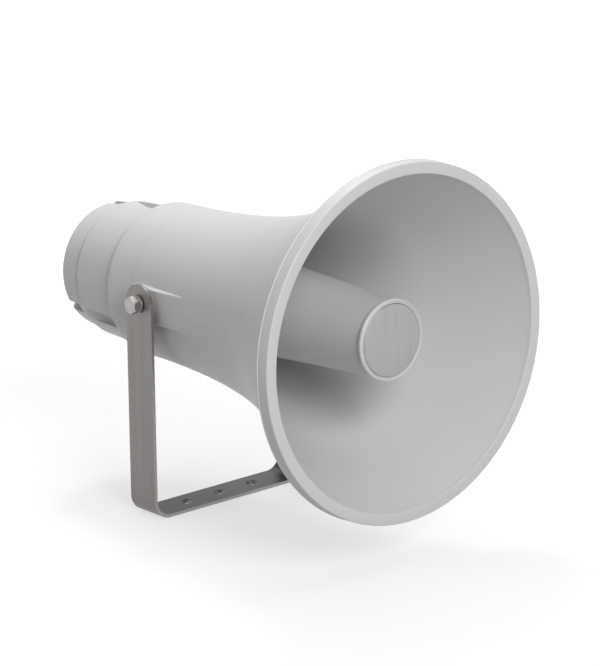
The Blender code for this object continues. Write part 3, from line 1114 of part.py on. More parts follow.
def pivots(parent):
    """On each side: insert in the pad, friction washer, spring washer and hexagon bolt."""
    for name, side in (("left", -1), ("right", 1)):
        insert = ring(PAD_INSERT_BORE, PAD_INSERT_RADIUS, PAD_HALF_WIDTH - SEAT_GAP - PAD_INSERT_LENGTH,
                      PAD_HALF_WIDTH - SEAT_GAP, INNER_STEPS)
        piece(f"pad_insert_{name}", across(insert, side), FINISHES["brass"], parent)
        washer_front = PAD_HALF_WIDTH + SEAT_GAP
        washer = ring(BOLT_HOLE_RADIUS, FRICTION_WASHER_RADIUS, washer_front,
                      washer_front + FRICTION_WASHER_THICKNESS, INNER_STEPS)
        piece(f"friction_washer_{name}", across(washer, side), FINISHES["nylon"], parent)
        spring_front = ARM_OUTER + LEAN_PLAY
        spring = ring(BOLT_HOLE_RADIUS, SPRING_WASHER_RADIUS, spring_front,
                      spring_front + SPRING_WASHER_THICKNESS, INNER_STEPS)
        split = piece(f"spring_washer_{name}", across(spring, side), FINISHES["bolt_steel"], parent)
        slit = bmesh.new()
        block(slit, (0, -SPRING_WASHER_SLIT / 2, BOLT_RADIUS / 2),
              (side * (spring_front + OVERCUT), SPRING_WASHER_SLIT / 2, SPRING_WASHER_RADIUS + OVERCUT))
        combine(split, tool(f"washer_slit_{name}", slit, parent), "DIFFERENCE")
        seat = spring_front + SPRING_WASHER_THICKNESS + SEAT_GAP
        head = bmesh.new()
        hexagon(head, BOLT_HEAD_FLATS, seat, seat + BOLT_HEAD_HEIGHT)
        top = [edge for edge in head.edges if all(vert.co.y > seat + SEAT_GAP for vert in edge.verts)]
        bmesh.ops.bevel(head, geom=top, offset=BOLT_HEAD_BEVEL, segments=1, affect="EDGES")
        bolt = piece(f"pivot_bolt_{name}", across(head, side), FINISHES["bolt_steel"], parent)
        shank = bmesh.new()
        rod(shank, (0, seat - BOLT_LENGTH, 0), (0, seat + BOLT_HEAD_HEIGHT / 2, 0), BOLT_RADIUS, INNER_STEPS)
        combine(bolt, tool(f"bolt_shank_{name}", across(shank, side), parent), "UNION")


# %% Bracket
def bracket_path():
    """Stations along the strip: the middle point and heading in (x, z), and the half width there."""
    middle = STRIP_THICKNESS / 2
    bend = BEND_RADIUS + middle
    arm = Vector((math.sin(LEAN), -math.cos(LEAN)))
    pivot = Vector(((ARM_INNER + ARM_OUTER) / 2, PIVOT_HEIGHT))
    drop = (PIVOT_HEIGHT - middle - bend * (1 + math.sin(LEAN))) / math.cos(LEAN)
    centre = pivot + arm * drop - Vector((math.cos(LEAN), math.sin(LEAN))) * bend
    half_width = STRIP_WIDTH / 2
    stations = []
    for step in range(END_STEPS, 0, -1):
        angle = END_ANGLE * step / END_STEPS
        stations.append((pivot - arm * half_width * math.sin(angle), arm, half_width * math.cos(angle)))
    stations.append((pivot, arm, half_width))
    for step in range(BEND_STEPS + 1):
        angle = LEAN - (math.pi / 2 + LEAN) * step / BEND_STEPS
        outward = Vector((math.cos(angle), math.sin(angle)))
        direction = Vector((math.sin(angle), -math.cos(angle)))
        stations.append((centre + outward * bend, direction, half_width))
    mirrored = [(Vector((-point.x, point.y)), Vector((direction.x, -direction.y)), width)
                for point, direction, width in reversed(stations)]
    return stations + mirrored


def bracket():
    """The bracket: one steel strip folded into a U, with round arm ends, bolt holes and base holes."""
    bm = bmesh.new()
    sections = []
    for point, direction, half_width in bracket_path():
        normal = Vector((-direction.y, direction.x)) * STRIP_THICKNESS / 2
        corners = ((normal, -half_width), (normal, half_width), (-normal, half_width), (-normal, -half_width))
        sections.append([bm.verts.new((point.x + offset.x, depth, point.y + offset.y))
                         for offset, depth in corners])
    for first, second in zip(sections, sections[1:]):
        for corner in range(4):
            following = (corner + 1) % 4
            bm.faces.new((first[corner], first[following], second[following], second[corner]))
    bm.faces.new(sections[0])
    bm.faces.new(sections[-1])
    strip = piece("bracket", bm, FINISHES["steel"], None, (0, PIVOT_DEPTH - MIDDLE_DEPTH, 0))
    holes = bmesh.new()
    for place in (-1, 0, 1):
        rod(holes, (place * BASE_HOLE_SPACING, 0, -OVERCUT),
            (place * BASE_HOLE_SPACING, 0, STRIP_THICKNESS + OVERCUT), BASE_HOLE_RADIUS, INNER_STEPS)
    rod(holes, (-ARM_OUTER - OVERCUT, 0, PIVOT_HEIGHT), (ARM_OUTER + OVERCUT, 0, PIVOT_HEIGHT),
        BOLT_HOLE_RADIUS, INNER_STEPS)
    cutter = tool("bracket_holes", holes, None)
    cutter.location = strip.location
    combine(strip, cutter, "DIFFERENCE")


# %% Assembly
for old in list(bpy.data.objects):
    bpy.data.objects.remove(old)
FINISHES = finishes()
PIVOT = empty("horn_pivot", (0, PIVOT_DEPTH - MIDDLE_DEPTH, PIVOT_HEIGHT))
HORN_AXIS = empty("horn_axis", (0, -PIVOT_DEPTH, -PIVOT_RISE), PIVOT)
bracket()
horn_bell(HORN_AXIS)
horn_collar(HORN_AXIS)
throat_tube(HORN_AXIS)
bullet(HORN_AXIS)
badge_disc(HORN_AXIS)
path_screws(HORN_AXIS)
throat_gasket(HORN_AXIS)
driver_front(HORN_AXIS)
phase_plug(HORN_AXIS)
diaphragm(HORN_AXIS)
motor(HORN_AXIS)
motor_screws(HORN_AXIS)
transformer_frame(HORN_AXIS)
transformer(HORN_AXIS)
terminals(HORN_AXIS)
driver_housing(HORN_AXIS)
housing_seals(HORN_AXIS)
back_cap(HORN_AXIS)
housing_screws(HORN_AXIS)
cable_gland(HORN_AXIS)
pivots(PIVOT)
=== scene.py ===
# %% [markdown]
# # A PA horn speaker, dressed
# The CAD model is loaded first, as a fixed frame. Every fine piece below is made in its place, takes
# over from a plain CAD node and rides on the same body, so the horn still tilts in its bracket.

# %% The frame
import json
import math

import bmesh
import bpy
from mathutils import Matrix, Quaternion, Vector

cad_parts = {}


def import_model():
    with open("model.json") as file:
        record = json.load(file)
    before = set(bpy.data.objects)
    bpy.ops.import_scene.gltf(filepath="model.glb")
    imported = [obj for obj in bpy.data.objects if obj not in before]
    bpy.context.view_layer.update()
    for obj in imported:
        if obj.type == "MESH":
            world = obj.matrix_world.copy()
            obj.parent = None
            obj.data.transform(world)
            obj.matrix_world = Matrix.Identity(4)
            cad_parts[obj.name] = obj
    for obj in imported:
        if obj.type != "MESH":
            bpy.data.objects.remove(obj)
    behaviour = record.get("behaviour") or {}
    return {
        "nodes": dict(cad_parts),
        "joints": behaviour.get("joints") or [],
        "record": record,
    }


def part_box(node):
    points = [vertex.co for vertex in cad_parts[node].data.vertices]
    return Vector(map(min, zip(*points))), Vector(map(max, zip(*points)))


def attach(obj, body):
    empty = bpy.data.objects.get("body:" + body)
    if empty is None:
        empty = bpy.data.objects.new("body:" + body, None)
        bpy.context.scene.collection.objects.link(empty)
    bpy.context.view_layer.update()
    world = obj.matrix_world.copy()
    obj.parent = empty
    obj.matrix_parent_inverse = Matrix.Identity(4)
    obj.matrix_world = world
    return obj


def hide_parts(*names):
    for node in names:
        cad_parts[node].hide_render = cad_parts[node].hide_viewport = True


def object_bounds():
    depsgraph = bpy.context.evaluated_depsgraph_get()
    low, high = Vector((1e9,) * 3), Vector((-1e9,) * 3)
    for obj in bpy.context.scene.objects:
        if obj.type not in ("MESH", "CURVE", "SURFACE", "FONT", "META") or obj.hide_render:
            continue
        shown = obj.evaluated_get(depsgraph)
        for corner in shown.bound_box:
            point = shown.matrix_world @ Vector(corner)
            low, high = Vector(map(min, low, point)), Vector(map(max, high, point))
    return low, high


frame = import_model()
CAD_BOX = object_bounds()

for corner in CAD_BOX:
    print("CAD box corner, mm:", [round(value * 1000, 1) for value in corner])

# %% [markdown]
# ## Camera
# The speaker was photographed from the left of its mouth, a little from above, with a long lens.
# The camera stands where the perspective of the mouth and of the bracket puts it. The photograph is
# framed below the line of sight, which a vertical lens shift repeats.

# %% Camera
PICTURE_WIDTH = 600
CAMERA_PLACE = Vector((-1.4168, -1.7442, 0.7580))
LOOK_LEFT = math.radians(-40.25)
LOOK_DOWN = math.radians(13.835)
CAMERA_ROLL = math.radians(-1.446)
FOCAL_PIXELS = 2903.1
SHIFT_PIXELS = -73
FILM_WIDTH = 36


def add_camera():
    """The camera at the photograph's place, looking along its line of sight."""
    lens = bpy.data.cameras.new("camera")
    lens.sensor_fit = "HORIZONTAL"
    lens.sensor_width = FILM_WIDTH
    lens.lens = FILM_WIDTH * FOCAL_PIXELS / PICTURE_WIDTH
    lens.shift_y = SHIFT_PIXELS / PICTURE_WIDTH
    lens.clip_end = 50
    camera = bpy.data.objects.new("camera", lens)
    sight = Vector((math.cos(LOOK_DOWN) * math.sin(-LOOK_LEFT),
                    math.cos(LOOK_DOWN) * math.cos(LOOK_LEFT), -math.sin(LOOK_DOWN)))
    level = sight.to_track_quat("-Z", "Y")
    camera.rotation_mode = "QUATERNION"
    camera.rotation_quaternion = level @ Quaternion((0, 0, 1), CAMERA_ROLL)
    camera.location = CAMERA_PLACE
    bpy.context.scene.collection.objects.link(camera)
    bpy.context.scene.camera = camera
    return camera


print("lens, mm:", round(add_camera().data.lens, 1))

# %% [markdown]
# ## Nodes written as sums
# A finish is easier to read as a formula than as a list of links. Each socket is wrapped in a small
# class whose operators add Math nodes, and one method adds any other node.

# %% Sockets that can be added and multiplied
class Wire:
    """An output socket of a node; arithmetic on it adds Math nodes."""

    def __init__(self, nodes, socket):
        self.nodes = nodes
        self.socket = socket

    def math(self, operation, first, second=0):
        return self.nodes.node("Math", {0: first, 1: second}, operation=operation)

    def __add__(self, other):
        return self.math("ADD", self, other)

    def __radd__(self, other):
        return self.math("ADD", other, self)

    def __mul__(self, other):
        return self.math("MULTIPLY", self, other)

    def less(self, other):
        return self.math("LESS_THAN", self, other)

    def greater(self, other):
        return self.math("GREATER_THAN", self, other)

    def absolute(self):
        return self.math("ABSOLUTE", self)


# %% The nodes of a material or of the world
class Nodes:
    """A node tree in the making."""

    def __init__(self, tree):
        self.tree = tree

    def join(self, target, value):
        """Gives a socket a constant or a wire."""
        if isinstance(value, Wire):
            self.tree.links.new(value.socket, target)
        else:
            target.default_value = value

    def node(self, kind, inputs=None, output=0, **settings):
        """Adds a node with its settings, fills its inputs and gives the wire of one output."""
        made = self.tree.nodes.new("ShaderNode" + kind)
        for key, value in settings.items():
            setattr(made, key, value)
        for key, value in (inputs or {}).items():
            self.join(made.inputs[key], value)
        return Wire(self, made.outputs[output])


# %% One material
def shade(colour, factor):
    """A colour as a node input, darker or lighter by a factor."""
    return (*[min(1, part * factor) for part in colour], 1)


class Finish(Nodes):
    """A material in the making, named after its slot in the record."""

    def __init__(self, name, colour, roughness=0.5, metallic=0.0):
        self.name = name
        self.material = bpy.data.materials.new(name)
        self.material.use_nodes = True
        super().__init__(self.material.node_tree)
        self.shader = self.tree.nodes["Principled BSDF"]
        self.set("Roughness", roughness)
        self.set("Metallic", metallic)
        self.set("Base Color", (*colour, 1))

    def set(self, name, value):
        """Gives a socket of the shader a constant or a wire."""
        self.join(self.shader.inputs[name], value)

    def stretched(self, point, stretch):
        """A point multiplied by stretch along each axis."""
        return self.node("VectorMath", {0: point, 1: stretch}, operation="MULTIPLY")

    def place(self, stretch=(1, 1, 1)):
        """The point on the piece, in metres, multiplied by stretch along each axis."""
        return self.stretched(self.node("TexCoord", output="Object"), stretch)

    def noise(self, point, scale, detail=2.0, rough=0.5):
        """Noise from 0 to 1 at so many waves a metre."""
        return self.node("TexNoise", {"Vector": point, "Scale": scale, "Detail": detail,
                                      "Roughness": rough})

    def blend(self, amount, first, second):
        """A colour between two colours."""
        return self.node("Mix", {0: amount, 6: first, 7: second}, output=2, data_type="RGBA")

    def shades(self, amount, colour, darker, lighter):
        """A colour between two shades of itself."""
        return self.blend(amount, shade(colour, darker), shade(colour, lighter))

    def relief(self, height, distance, strength):
        """Bumps of a height of 0 to 1 over a distance in metres."""
        self.set("Normal", self.node("Bump", {"Height": height, "Distance": distance,
                                              "Strength": strength}))


# %% [markdown]
# ## Moulded plastic
# The bell, bullet, housing and cap are moulded in one light warm grey. Such plastic isn't one flat
# grey: it has faint clouds from the mould's flow, and the mould's fine spark texture, which spreads
# highlights into a soft sheen. The grain is a bump of well under a tenth of a millimetre.

# %% Horn plastic
HORN_GREY = (0.63, 0.622, 0.618)


def horn_plastic():
    """Light grey moulded plastic: faint clouds, fine moulded grain, soft sheen."""
    finish = Finish("horn_plastic", HORN_GREY)
    point = finish.place()
    clouds = finish.noise(point, 14, 3)
    grain = finish.noise(point, 1400, 2, 0.6)
    finish.set("Base Color", finish.shades(clouds * 0.7 + grain * 0.3, HORN_GREY, 0.965, 1.035))
    finish.set("Roughness", 0.29 + clouds * 0.12 + grain * 0.06)
    finish.relief(grain, 0.00012, 0.35)
    return finish


# %% Plastic that is hidden inside
def inner_plastic():
    """Black glass-filled plastic with short light fibres in it."""
    dark = (0.035, 0.035, 0.037)
    finish = Finish("inner_plastic", dark)
    fibres = finish.noise(finish.place((1, 4, 1)), 900, 1)
    finish.set("Base Color", finish.shades(fibres, dark, 0.7, 1.6))
    finish.set("Roughness", 0.50 + fibres * 0.15)
    finish.relief(fibres, 0.0001, 0.4)
    return finish


# %% [markdown]
# ## Brushed steel
# The bracket is cut from stainless strip that was brushed along its length, so the scratches run up
# the arms and across the base. Each point of the strip keeps its place in the flat strip as an
# attribute, and the scratches are noise stretched along it, so that they follow the folds. Only the
# outer face is brushed. The inner one, the top of the base, is unbrushed and painted far darker: this is
# painted shade for the shadow and dark reflection under the horn. The cut edges get a painted highlight.

# %% Bracket steel
STEEL_GREY = (0.215, 0.203, 0.199)
# Painted shade: the inner face, the top of the base under the horn, is darkened to this share of the
# steel's grey.
INNER_PAINTED_SHADE = 0.32
INNER_SIDE = -0.0009
CUT_EDGE = 0.01585
# Painted highlight: the strip's cut edges are lightened by this factor.
CUT_PAINTED_HIGHLIGHT = 1.7


def bracket_steel():
    """Stainless strip, brushed lengthwise, with fine uneven scratches, painted shade on the inner face
    and a painted highlight on the cut edges.
    """
    finish = Finish("steel", STEEL_GREY, metallic=1.0)
    flat = finish.node("Attribute", output="Vector", attribute_name="flat_place")
    scratches = finish.noise(finish.stretched(flat, (18, 1400, 400)), 1, 3, 0.65)
    wide = finish.noise(finish.stretched(flat, (6, 160, 50)), 1)
    clouds = finish.noise(finish.place(), 25)
    streaks = scratches * 0.6 + wide * 0.4
    across, through = [finish.node("SeparateXYZ", {0: flat}, output=axis) for axis in "YZ"]
    brushed = finish.shades(streaks, STEEL_GREY, 0.70, 1.35)
    # Painted shade: the inner face is darkened for the shadow and dark reflection under the horn.
    painted_shade_inner = finish.shades(scratches, STEEL_GREY, 0.90 * INNER_PAINTED_SHADE, 1.10 * INNER_PAINTED_SHADE)
    faces = finish.blend(through.less(INNER_SIDE), brushed, painted_shade_inner)
    # Painted highlight: the cut edges of the strip are painted lighter than the faces.
    cut = across.absolute().greater(CUT_EDGE)
    finish.set("Base Color", finish.blend(cut, faces, shade(STEEL_GREY, CUT_PAINTED_HIGHLIGHT)))
    finish.set("Roughness", 0.30 + scratches * 0.14 + clouds * 0.06)
    finish.relief(streaks, 0.00006, 0.5)
    return finish


# %% Bolt steel
BOLT_GREY = (0.38, 0.372, 0.365)


def bolt_steel():
    """Plain stainless fasteners, with the dull mottle of cold forming."""
    finish = Finish("bolt_steel", BOLT_GREY, metallic=1.0)
    mottle = finish.noise(finish.place(), 700, 3, 0.7)
    finish.set("Base Color", finish.shades(mottle, BOLT_GREY, 0.50, 1.50))
    finish.set("Roughness", 0.24 + mottle * 0.22)
    finish.relief(mottle, 0.00015, 0.5)
    return finish


# %% [markdown]
# ## Brushed aluminium
# The disc on the bullet is thin aluminium sheet with a straight upright grain. The grain is noise
# that is stretched hard along the height of the disc.

# %% Disc aluminium
DISC_GREY = (0.365, 0.362, 0.375)


def disc_aluminium():
    """Sheet aluminium with a straight upright brushed grain."""
    finish = Finish("aluminium", DISC_GREY, metallic=1.0)
    lines = finish.noise(finish.place((1500, 1500, 22)), 1, 2, 0.6)
    bands = finish.noise(finish.place((260, 260, 8)), 1)
    streaks = lines * 0.65 + bands * 0.35
    finish.set("Base Color", finish.shades(streaks, DISC_GREY, 0.72, 1.25))
    finish.set("Roughness", 0.34 + lines * 0.16)
    finish.relief(streaks, 0.00005, 0.5)
    return finish


# %% [markdown]
# ## Small finishes
# Washers, seals, inserts and the driver's pieces are small or hidden. They get the same care in
# short form: one noise that breaks the colour, the roughness and the surface together.

# %% Small finishes
SMALL_FINISHES = {
    "brass": ((0.62, 0.44, 0.20), 0.28, 1.0, 500),
    "nylon": ((0.70, 0.69, 0.65), 0.42, 0.0, 800),
    "rubber": ((0.018, 0.018, 0.019), 0.62, 0.0, 900),
    "ferrite": ((0.040, 0.040, 0.044), 0.50, 0.0, 1200),
    "plated_iron": ((0.52, 0.51, 0.47), 0.30, 1.0, 300),
    "copper": ((0.62, 0.28, 0.14), 0.28, 1.0, 1500),
    "resin": ((0.28, 0.13, 0.05), 0.42, 0.0, 600),
}


def small_finish(name, colour, roughness, metallic, waves):
    """A finish of one colour, broken by one noise of so many waves a metre."""
    finish = Finish(name, colour, metallic=metallic)
    mottle = finish.noise(finish.place(), waves, 3, 0.6)
    finish.set("Base Color", finish.shades(mottle, colour, 0.82, 1.18))
    finish.set("Roughness", roughness + mottle * 0.18)
    finish.relief(mottle, 0.0001, 0.4)
    return finish


MATERIALS = {made.name: made.material for made in (
    horn_plastic(), inner_plastic(), bracket_steel(), bolt_steel(), disc_aluminium(),
    *[small_finish(name, *values) for name, values in SMALL_FINISHES.items()])}
print("finishes:", len(MATERIALS))

# %% [markdown]
# ## Making pieces
# Every moulded piece is turned about the horn's axis, so its mesh is drawn in the horn's own
# measures: a radius from the axis and a depth behind the mouth. The object then stands on the axis at
# the mouth's plane, which the box of the CAD bell gives.

# %% Places that the frame gives
BELL_LOW, BELL_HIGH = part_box("horn_bell")
MOUTH_RADIUS = (BELL_HIGH.z - BELL_LOW.z) / 2
AXIS = Vector((0, BELL_LOW.y, (BELL_LOW.z + BELL_HIGH.z) / 2))
BELL_END = BELL_HIGH.y - AXIS.y
COLLAR_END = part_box("horn_collar")[1].y - AXIS.y
PIVOT = Vector(next(joint["pos_m"] for joint in frame["joints"] if joint["name"] == "horn_tilt"))
PIVOT_DEPTH = PIVOT.y - AXIS.y
PIVOT_RISE = PIVOT.z - AXIS.z
TURN_STEPS = 192
SMALL_STEPS = 64
EDGE_ANGLE = math.radians(32)
OVERCUT = 0.003


def depth_span(node):
    """The front and rear depth of a CAD node behind the mouth."""
    low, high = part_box(node)
    return low.y - AXIS.y, high.y - AXIS.y


def half_width(node):
    """Half the width of a CAD node that is turned about the axis."""
    low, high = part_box(node)
    return (high.x - low.x) / 2


print("mouth radius, mm:", round(MOUTH_RADIUS * 1000, 1), "collar ends at:", round(COLLAR_END * 1000, 1))


# %% Outlines and turned shapes
def arc(centre, radii, start, end, steps):
    """(radius, depth) points of an elliptical arc; 0 degrees points outwards and 90 to the rear."""
    points = []
    for step in range(steps + 1):
        angle = math.radians(start + (end - start) * step / steps)
        points.append((centre[0] + radii[0] * math.cos(angle), centre[1] + radii[1] * math.sin(angle)))
    return points


def lathe(profile, steps=TURN_STEPS, closed=False):
    """A solid turned about +Y from (radius, depth) points."""
    bm = bmesh.new()
    verts = [bm.verts.new((radius, depth, 0)) for radius, depth in profile]
    edges = [bm.edges.new(pair) for pair in zip(verts, verts[1:])]
    if closed:
        edges.append(bm.edges.new((verts[-1], verts[0])))
    bmesh.ops.spin(bm, geom=verts + edges, cent=(0, 0, 0), axis=(0, 1, 0),
                   angle=math.tau, steps=steps, use_merge=True)
    bmesh.ops.remove_doubles(bm, verts=bm.verts, dist=0.000001)
    return bm


def polar(radius, clock, depth):
    """A point at a radius, a clock angle in degrees from the top and a depth."""
    angle = math.radians(clock)
    return Vector((radius * math.sin(angle), depth, radius * math.cos(angle)))


def rod(bm, start, end, radius, steps=SMALL_STEPS):
    """Adds a cylinder between two points."""
    along = Vector(end) - Vector(start)
    turn = along.to_track_quat("Z", "Y").to_matrix().to_4x4()
    place = Matrix.Translation((Vector(start) + Vector(end)) / 2) @ turn
    bmesh.ops.create_cone(bm, cap_ends=True, segments=steps, radius1=radius, radius2=radius,
                          depth=along.length, matrix=place)


def rods(front, rear, radius, steps=SMALL_STEPS, clocks=(0,), circle=0):
    """Cylinders along the axis between two depths: one on it, or one at each clock angle."""
    bm = bmesh.new()
    for clock in clocks:
        rod(bm, polar(circle, clock, front), polar(circle, clock, rear), radius, steps)
    return bm


def prism(bm, outline, along, clock=0):
    """Adds a flat outline of points, swept by the vector along and turned to a clock angle."""
    face = bm.faces.new([bm.verts.new(point) for point in outline])
    swept = bmesh.ops.extrude_face_region(bm, geom=[face])["geom"]
    verts = [item for item in swept if isinstance(item, bmesh.types.BMVert)]
    bmesh.ops.translate(bm, verts=verts, vec=along)
    bmesh.ops.transform(bm, matrix=Matrix.Rotation(math.radians(clock), 4, "Y"),
                        verts=verts + list(face.verts))


def round_edges(bm, edges, width, segments):
    """Rounds some edges of a shape."""
    bmesh.ops.recalc_face_normals(bm, faces=bm.faces)
    bmesh.ops.bevel(bm, geom=edges, offset=width, segments=segments, profile=0.5, affect="EDGES")


# %% Objects
def mesh_object(name, bm, location=AXIS):
    """An object made from a bmesh, standing on the horn's axis unless told otherwise."""
    bmesh.ops.recalc_face_normals(bm, faces=bm.faces)
    mesh = bpy.data.meshes.new(name)
    bm.to_mesh(mesh)
    bm.free()
    made = bpy.data.objects.new(name, mesh)
    made.location = location
    bpy.context.scene.collection.objects.link(made)
    return made


def settle(made):
    """Applies the modifiers of an object to its mesh."""
    bpy.context.view_layer.update()
    shaped = made.evaluated_get(bpy.context.evaluated_depsgraph_get())
    mesh = bpy.data.meshes.new_from_object(shaped)
    made.modifiers.clear()
    made.data = mesh
    return made


def combine(target, bm, operation):
    """Cuts a shape from target ('DIFFERENCE') or joins it on ('UNION') with an exact Boolean."""
    shape = mesh_object("shape", bm, target.location)
    boolean = target.modifiers.new("boolean", "BOOLEAN")
    boolean.operation = operation
    boolean.solver = "EXACT"
    boolean.object = shape
    settle(target)
    bpy.data.objects.remove(shape)
    return target


def taken(made):
    """The shape of a helper object as a bmesh; the object itself goes."""
    bm = bmesh.new()
    bm.from_mesh(made.data)
    bpy.data.objects.remove(made)
    return bm


def soften(target, width):
    """Rounds the sharp edges of a piece."""
    bevel = target.modifiers.new("bevel", "BEVEL")
    bevel.width = width
    bevel.segments = 3
    bevel.limit_method = "ANGLE"
    bevel.angle_limit = math.radians(40)
    bevel.use_clamp_overlap = True
    return settle(target)


def finish_piece(made, slot, body, node):
    """Gives a piece its finish and its body, and lets it stand for a CAD node."""
    made.data.shade_smooth()
    made.data.set_sharp_from_angle(angle=EDGE_ANGLE)
    made.data.materials.clear()
    made.data.materials.append(MATERIALS[slot])
    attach(made, body)
    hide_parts(node)
    print(made.name, len(made.data.polygons), "faces")
    return made


# %% [markdown]
# ## Bell and rear collar
# The bell's section is a flat rim with an open groove behind it, a straight cone and a curve; the
# inside follows the outside at the wall's thickness. A second moulding is glued in behind it: a
# sleeve inside the bell, the dished wall and the collar, whose outside carries the curve on. The
# curve is a quadratic one, so its tangent meets the cone and the collar, and only a hairline shows.

# %% Sizes of the bell
RIM_DEPTH = 0.0116
SHOULDER_RADIUS = MOUTH_RADIUS - 0.0116
RIM_WALL = 0.0030
RIM_ROUND = 0.0010
RIM_BEAD = 0.0007
RIM_BAND = MOUTH_RADIUS - 0.0005
LIP_ROUND = 0.0008
BELL_WALL = 0.0030
FLARE_SLOPE = math.tan(math.radians(25.1))
CONE_END = 0.085
CONE_END_RADIUS = SHOULDER_RADIUS - FLARE_SLOPE * (CONE_END - RIM_DEPTH)
COLLAR_RADIUS = 0.0643
COLLAR_ROUND = 0.0015
HOUSING_FRONT, HOUSING_END = depth_span("driver_housing")
SEAL_FRONT, SEAL_REAR = depth_span("front_seal")
SEAT_GAP = HOUSING_FRONT - SEAL_REAR
SOCKET_RADIUS = half_width("driver_housing") + SEAT_GAP
LEDGE_RADIUS = SOCKET_RADIUS - 0.0043
LEDGE_REAR = SEAL_FRONT - SEAT_GAP
LEDGE_THICKNESS = 0.0030
DISH_START = 0.205
DISH_DEPTH = 0.025
DISH_LAND_RADIUS = 0.045
HUB_RADIUS = 0.027
HUB_REAR = DISH_START + DISH_DEPTH + BELL_WALL + 0.003
SPIGOT_RADIUS = 0.0139
BELL_BORE = COLLAR_RADIUS - BELL_WALL
SLEEVE_RADIUS = BELL_BORE - SEAT_GAP
SLEEVE_FRONT = depth_span("horn_collar")[0]
SLEEVE_WALL = 0.0030
print("socket radius, mm:", round(SOCKET_RADIUS * 1000, 2), "seat gap:", round(SEAT_GAP * 1000, 2))


# %% The bell's curve
def flare(along):
    """The point of the bell's outer curve at 0 to 1 of its way, and its outward normal."""
    bend_depth = CONE_END + (CONE_END_RADIUS - COLLAR_RADIUS) / FLARE_SLOPE
    start = Vector((CONE_END_RADIUS, CONE_END))
    bend = Vector((COLLAR_RADIUS, bend_depth))
    end = Vector((COLLAR_RADIUS, COLLAR_END - COLLAR_ROUND))
    point = start * (1 - along) ** 2 + bend * 2 * along * (1 - along) + end * along ** 2
    heading = ((bend - start) * (1 - along) + (end - bend) * along).normalized()
    return point, Vector((heading[1], -heading[0]))


def flare_way(depth):
    """How far along the curve a depth lies, by halving."""
    low, high = 0.0, 1.0
    for _ in range(30):
        middle = (low + high) / 2
        if flare(middle)[0][1] < depth:
            low = middle
        else:
            high = middle
    return (low + high) / 2


def flare_points(offset, last, steps):
    """Points along the bell's curve, set in by offset."""
    points = []
    for step in range(steps + 1):
        point, normal = flare(last * step / steps)
        points.append(tuple(point - normal * offset))
    return points


# %% The bell's section
def straight(first, second, steps):
    """Points between two points, without the first."""
    return [tuple(Vector(first).lerp(Vector(second), step / steps)) for step in range(1, steps + 1)]


def bell_outside():
    """The outside of the bell as a solid: rim, groove behind it, cone and curve."""
    groove = (SHOULDER_RADIUS + FLARE_SLOPE * (RIM_DEPTH - RIM_WALL), RIM_WALL)
    points = [(0, 0)] + arc((RIM_BAND - RIM_ROUND, RIM_ROUND), (RIM_ROUND, RIM_ROUND), -90, 0, 6)
    edge = RIM_WALL / 3
    points += arc((MOUTH_RADIUS - RIM_BEAD, RIM_DEPTH - RIM_BEAD), (RIM_BEAD, RIM_BEAD), -70, 90, 10)
    points += arc((MOUTH_RADIUS - RIM_WALL + edge, RIM_DEPTH - edge), (edge, edge), 90, 180, 4)
    points += [(MOUTH_RADIUS - RIM_WALL, RIM_WALL), groove]
    points += straight(groove, (CONE_END_RADIUS, CONE_END), 24)
    points += flare_points(0, flare_way(BELL_END), 50)[1:]
    return lathe(points + [(0, BELL_END)])


def bell_bore():
    """The bore that takes the collar's sleeve."""
    front = SLEEVE_FRONT - SEAT_GAP
    return lathe([(0, front), (BELL_BORE, front), (BELL_BORE, BELL_END + OVERCUT),
                  (0, BELL_END + OVERCUT)])


def collar_outside():
    """The rear moulding as a solid: the sleeve, then the end of the bell's curve."""
    front = BELL_END + SEAT_GAP
    points = [(0, SLEEVE_FRONT), (SLEEVE_RADIUS, SLEEVE_FRONT), (SLEEVE_RADIUS, front)]
    for step in range(9):
        depth = front + (COLLAR_END - COLLAR_ROUND - front) * step / 9
        points.append(tuple(flare(flare_way(depth))[0]))
    points += arc((COLLAR_RADIUS - COLLAR_ROUND, COLLAR_END - COLLAR_ROUND),
                  (COLLAR_ROUND, COLLAR_ROUND), 0, 90, 5)
    return lathe(points + [(0, COLLAR_END)])


def dish_reach():
    """How far the dish's curve reaches outwards from its flat land."""
    edge, normal = flare(flare_way(DISH_START))
    return edge[0] - normal[0] * BELL_WALL - DISH_LAND_RADIUS


def sound_space():
    """The space in front of the dished wall, with the small rounding of the mouth's lip."""
    wall = BELL_WALL / math.cos(math.atan(FLARE_SLOPE))
    lip = SHOULDER_RADIUS + FLARE_SLOPE * (RIM_DEPTH - LIP_ROUND) - wall
    inner = flare_points(BELL_WALL, flare_way(DISH_START), 48)
    points = [(0, -OVERCUT), (lip + LIP_ROUND, -OVERCUT)]
    points += arc((lip + LIP_ROUND, LIP_ROUND), (LIP_ROUND, LIP_ROUND), 270, 180, 4)
    points += straight(points[-1], inner[0], 24) + inner[1:]
    points += arc((DISH_LAND_RADIUS, DISH_START), (dish_reach(), DISH_DEPTH), 0, 90, 24)[1:]
    return lathe(points + [(0, DISH_START + DISH_DEPTH)])


# %% [markdown]
# The side pads that the bracket clamps are flat round the pivot. In front of it they shrink a little
# in height and lean in, until they fade into the flare. A round seat for the washer stands proud of
# each. What stands in the chamber behind the dished wall, such as posts, bosses and webs, is first
# taken out of the shape that hollows the chamber, so that none of it can break through the skin.

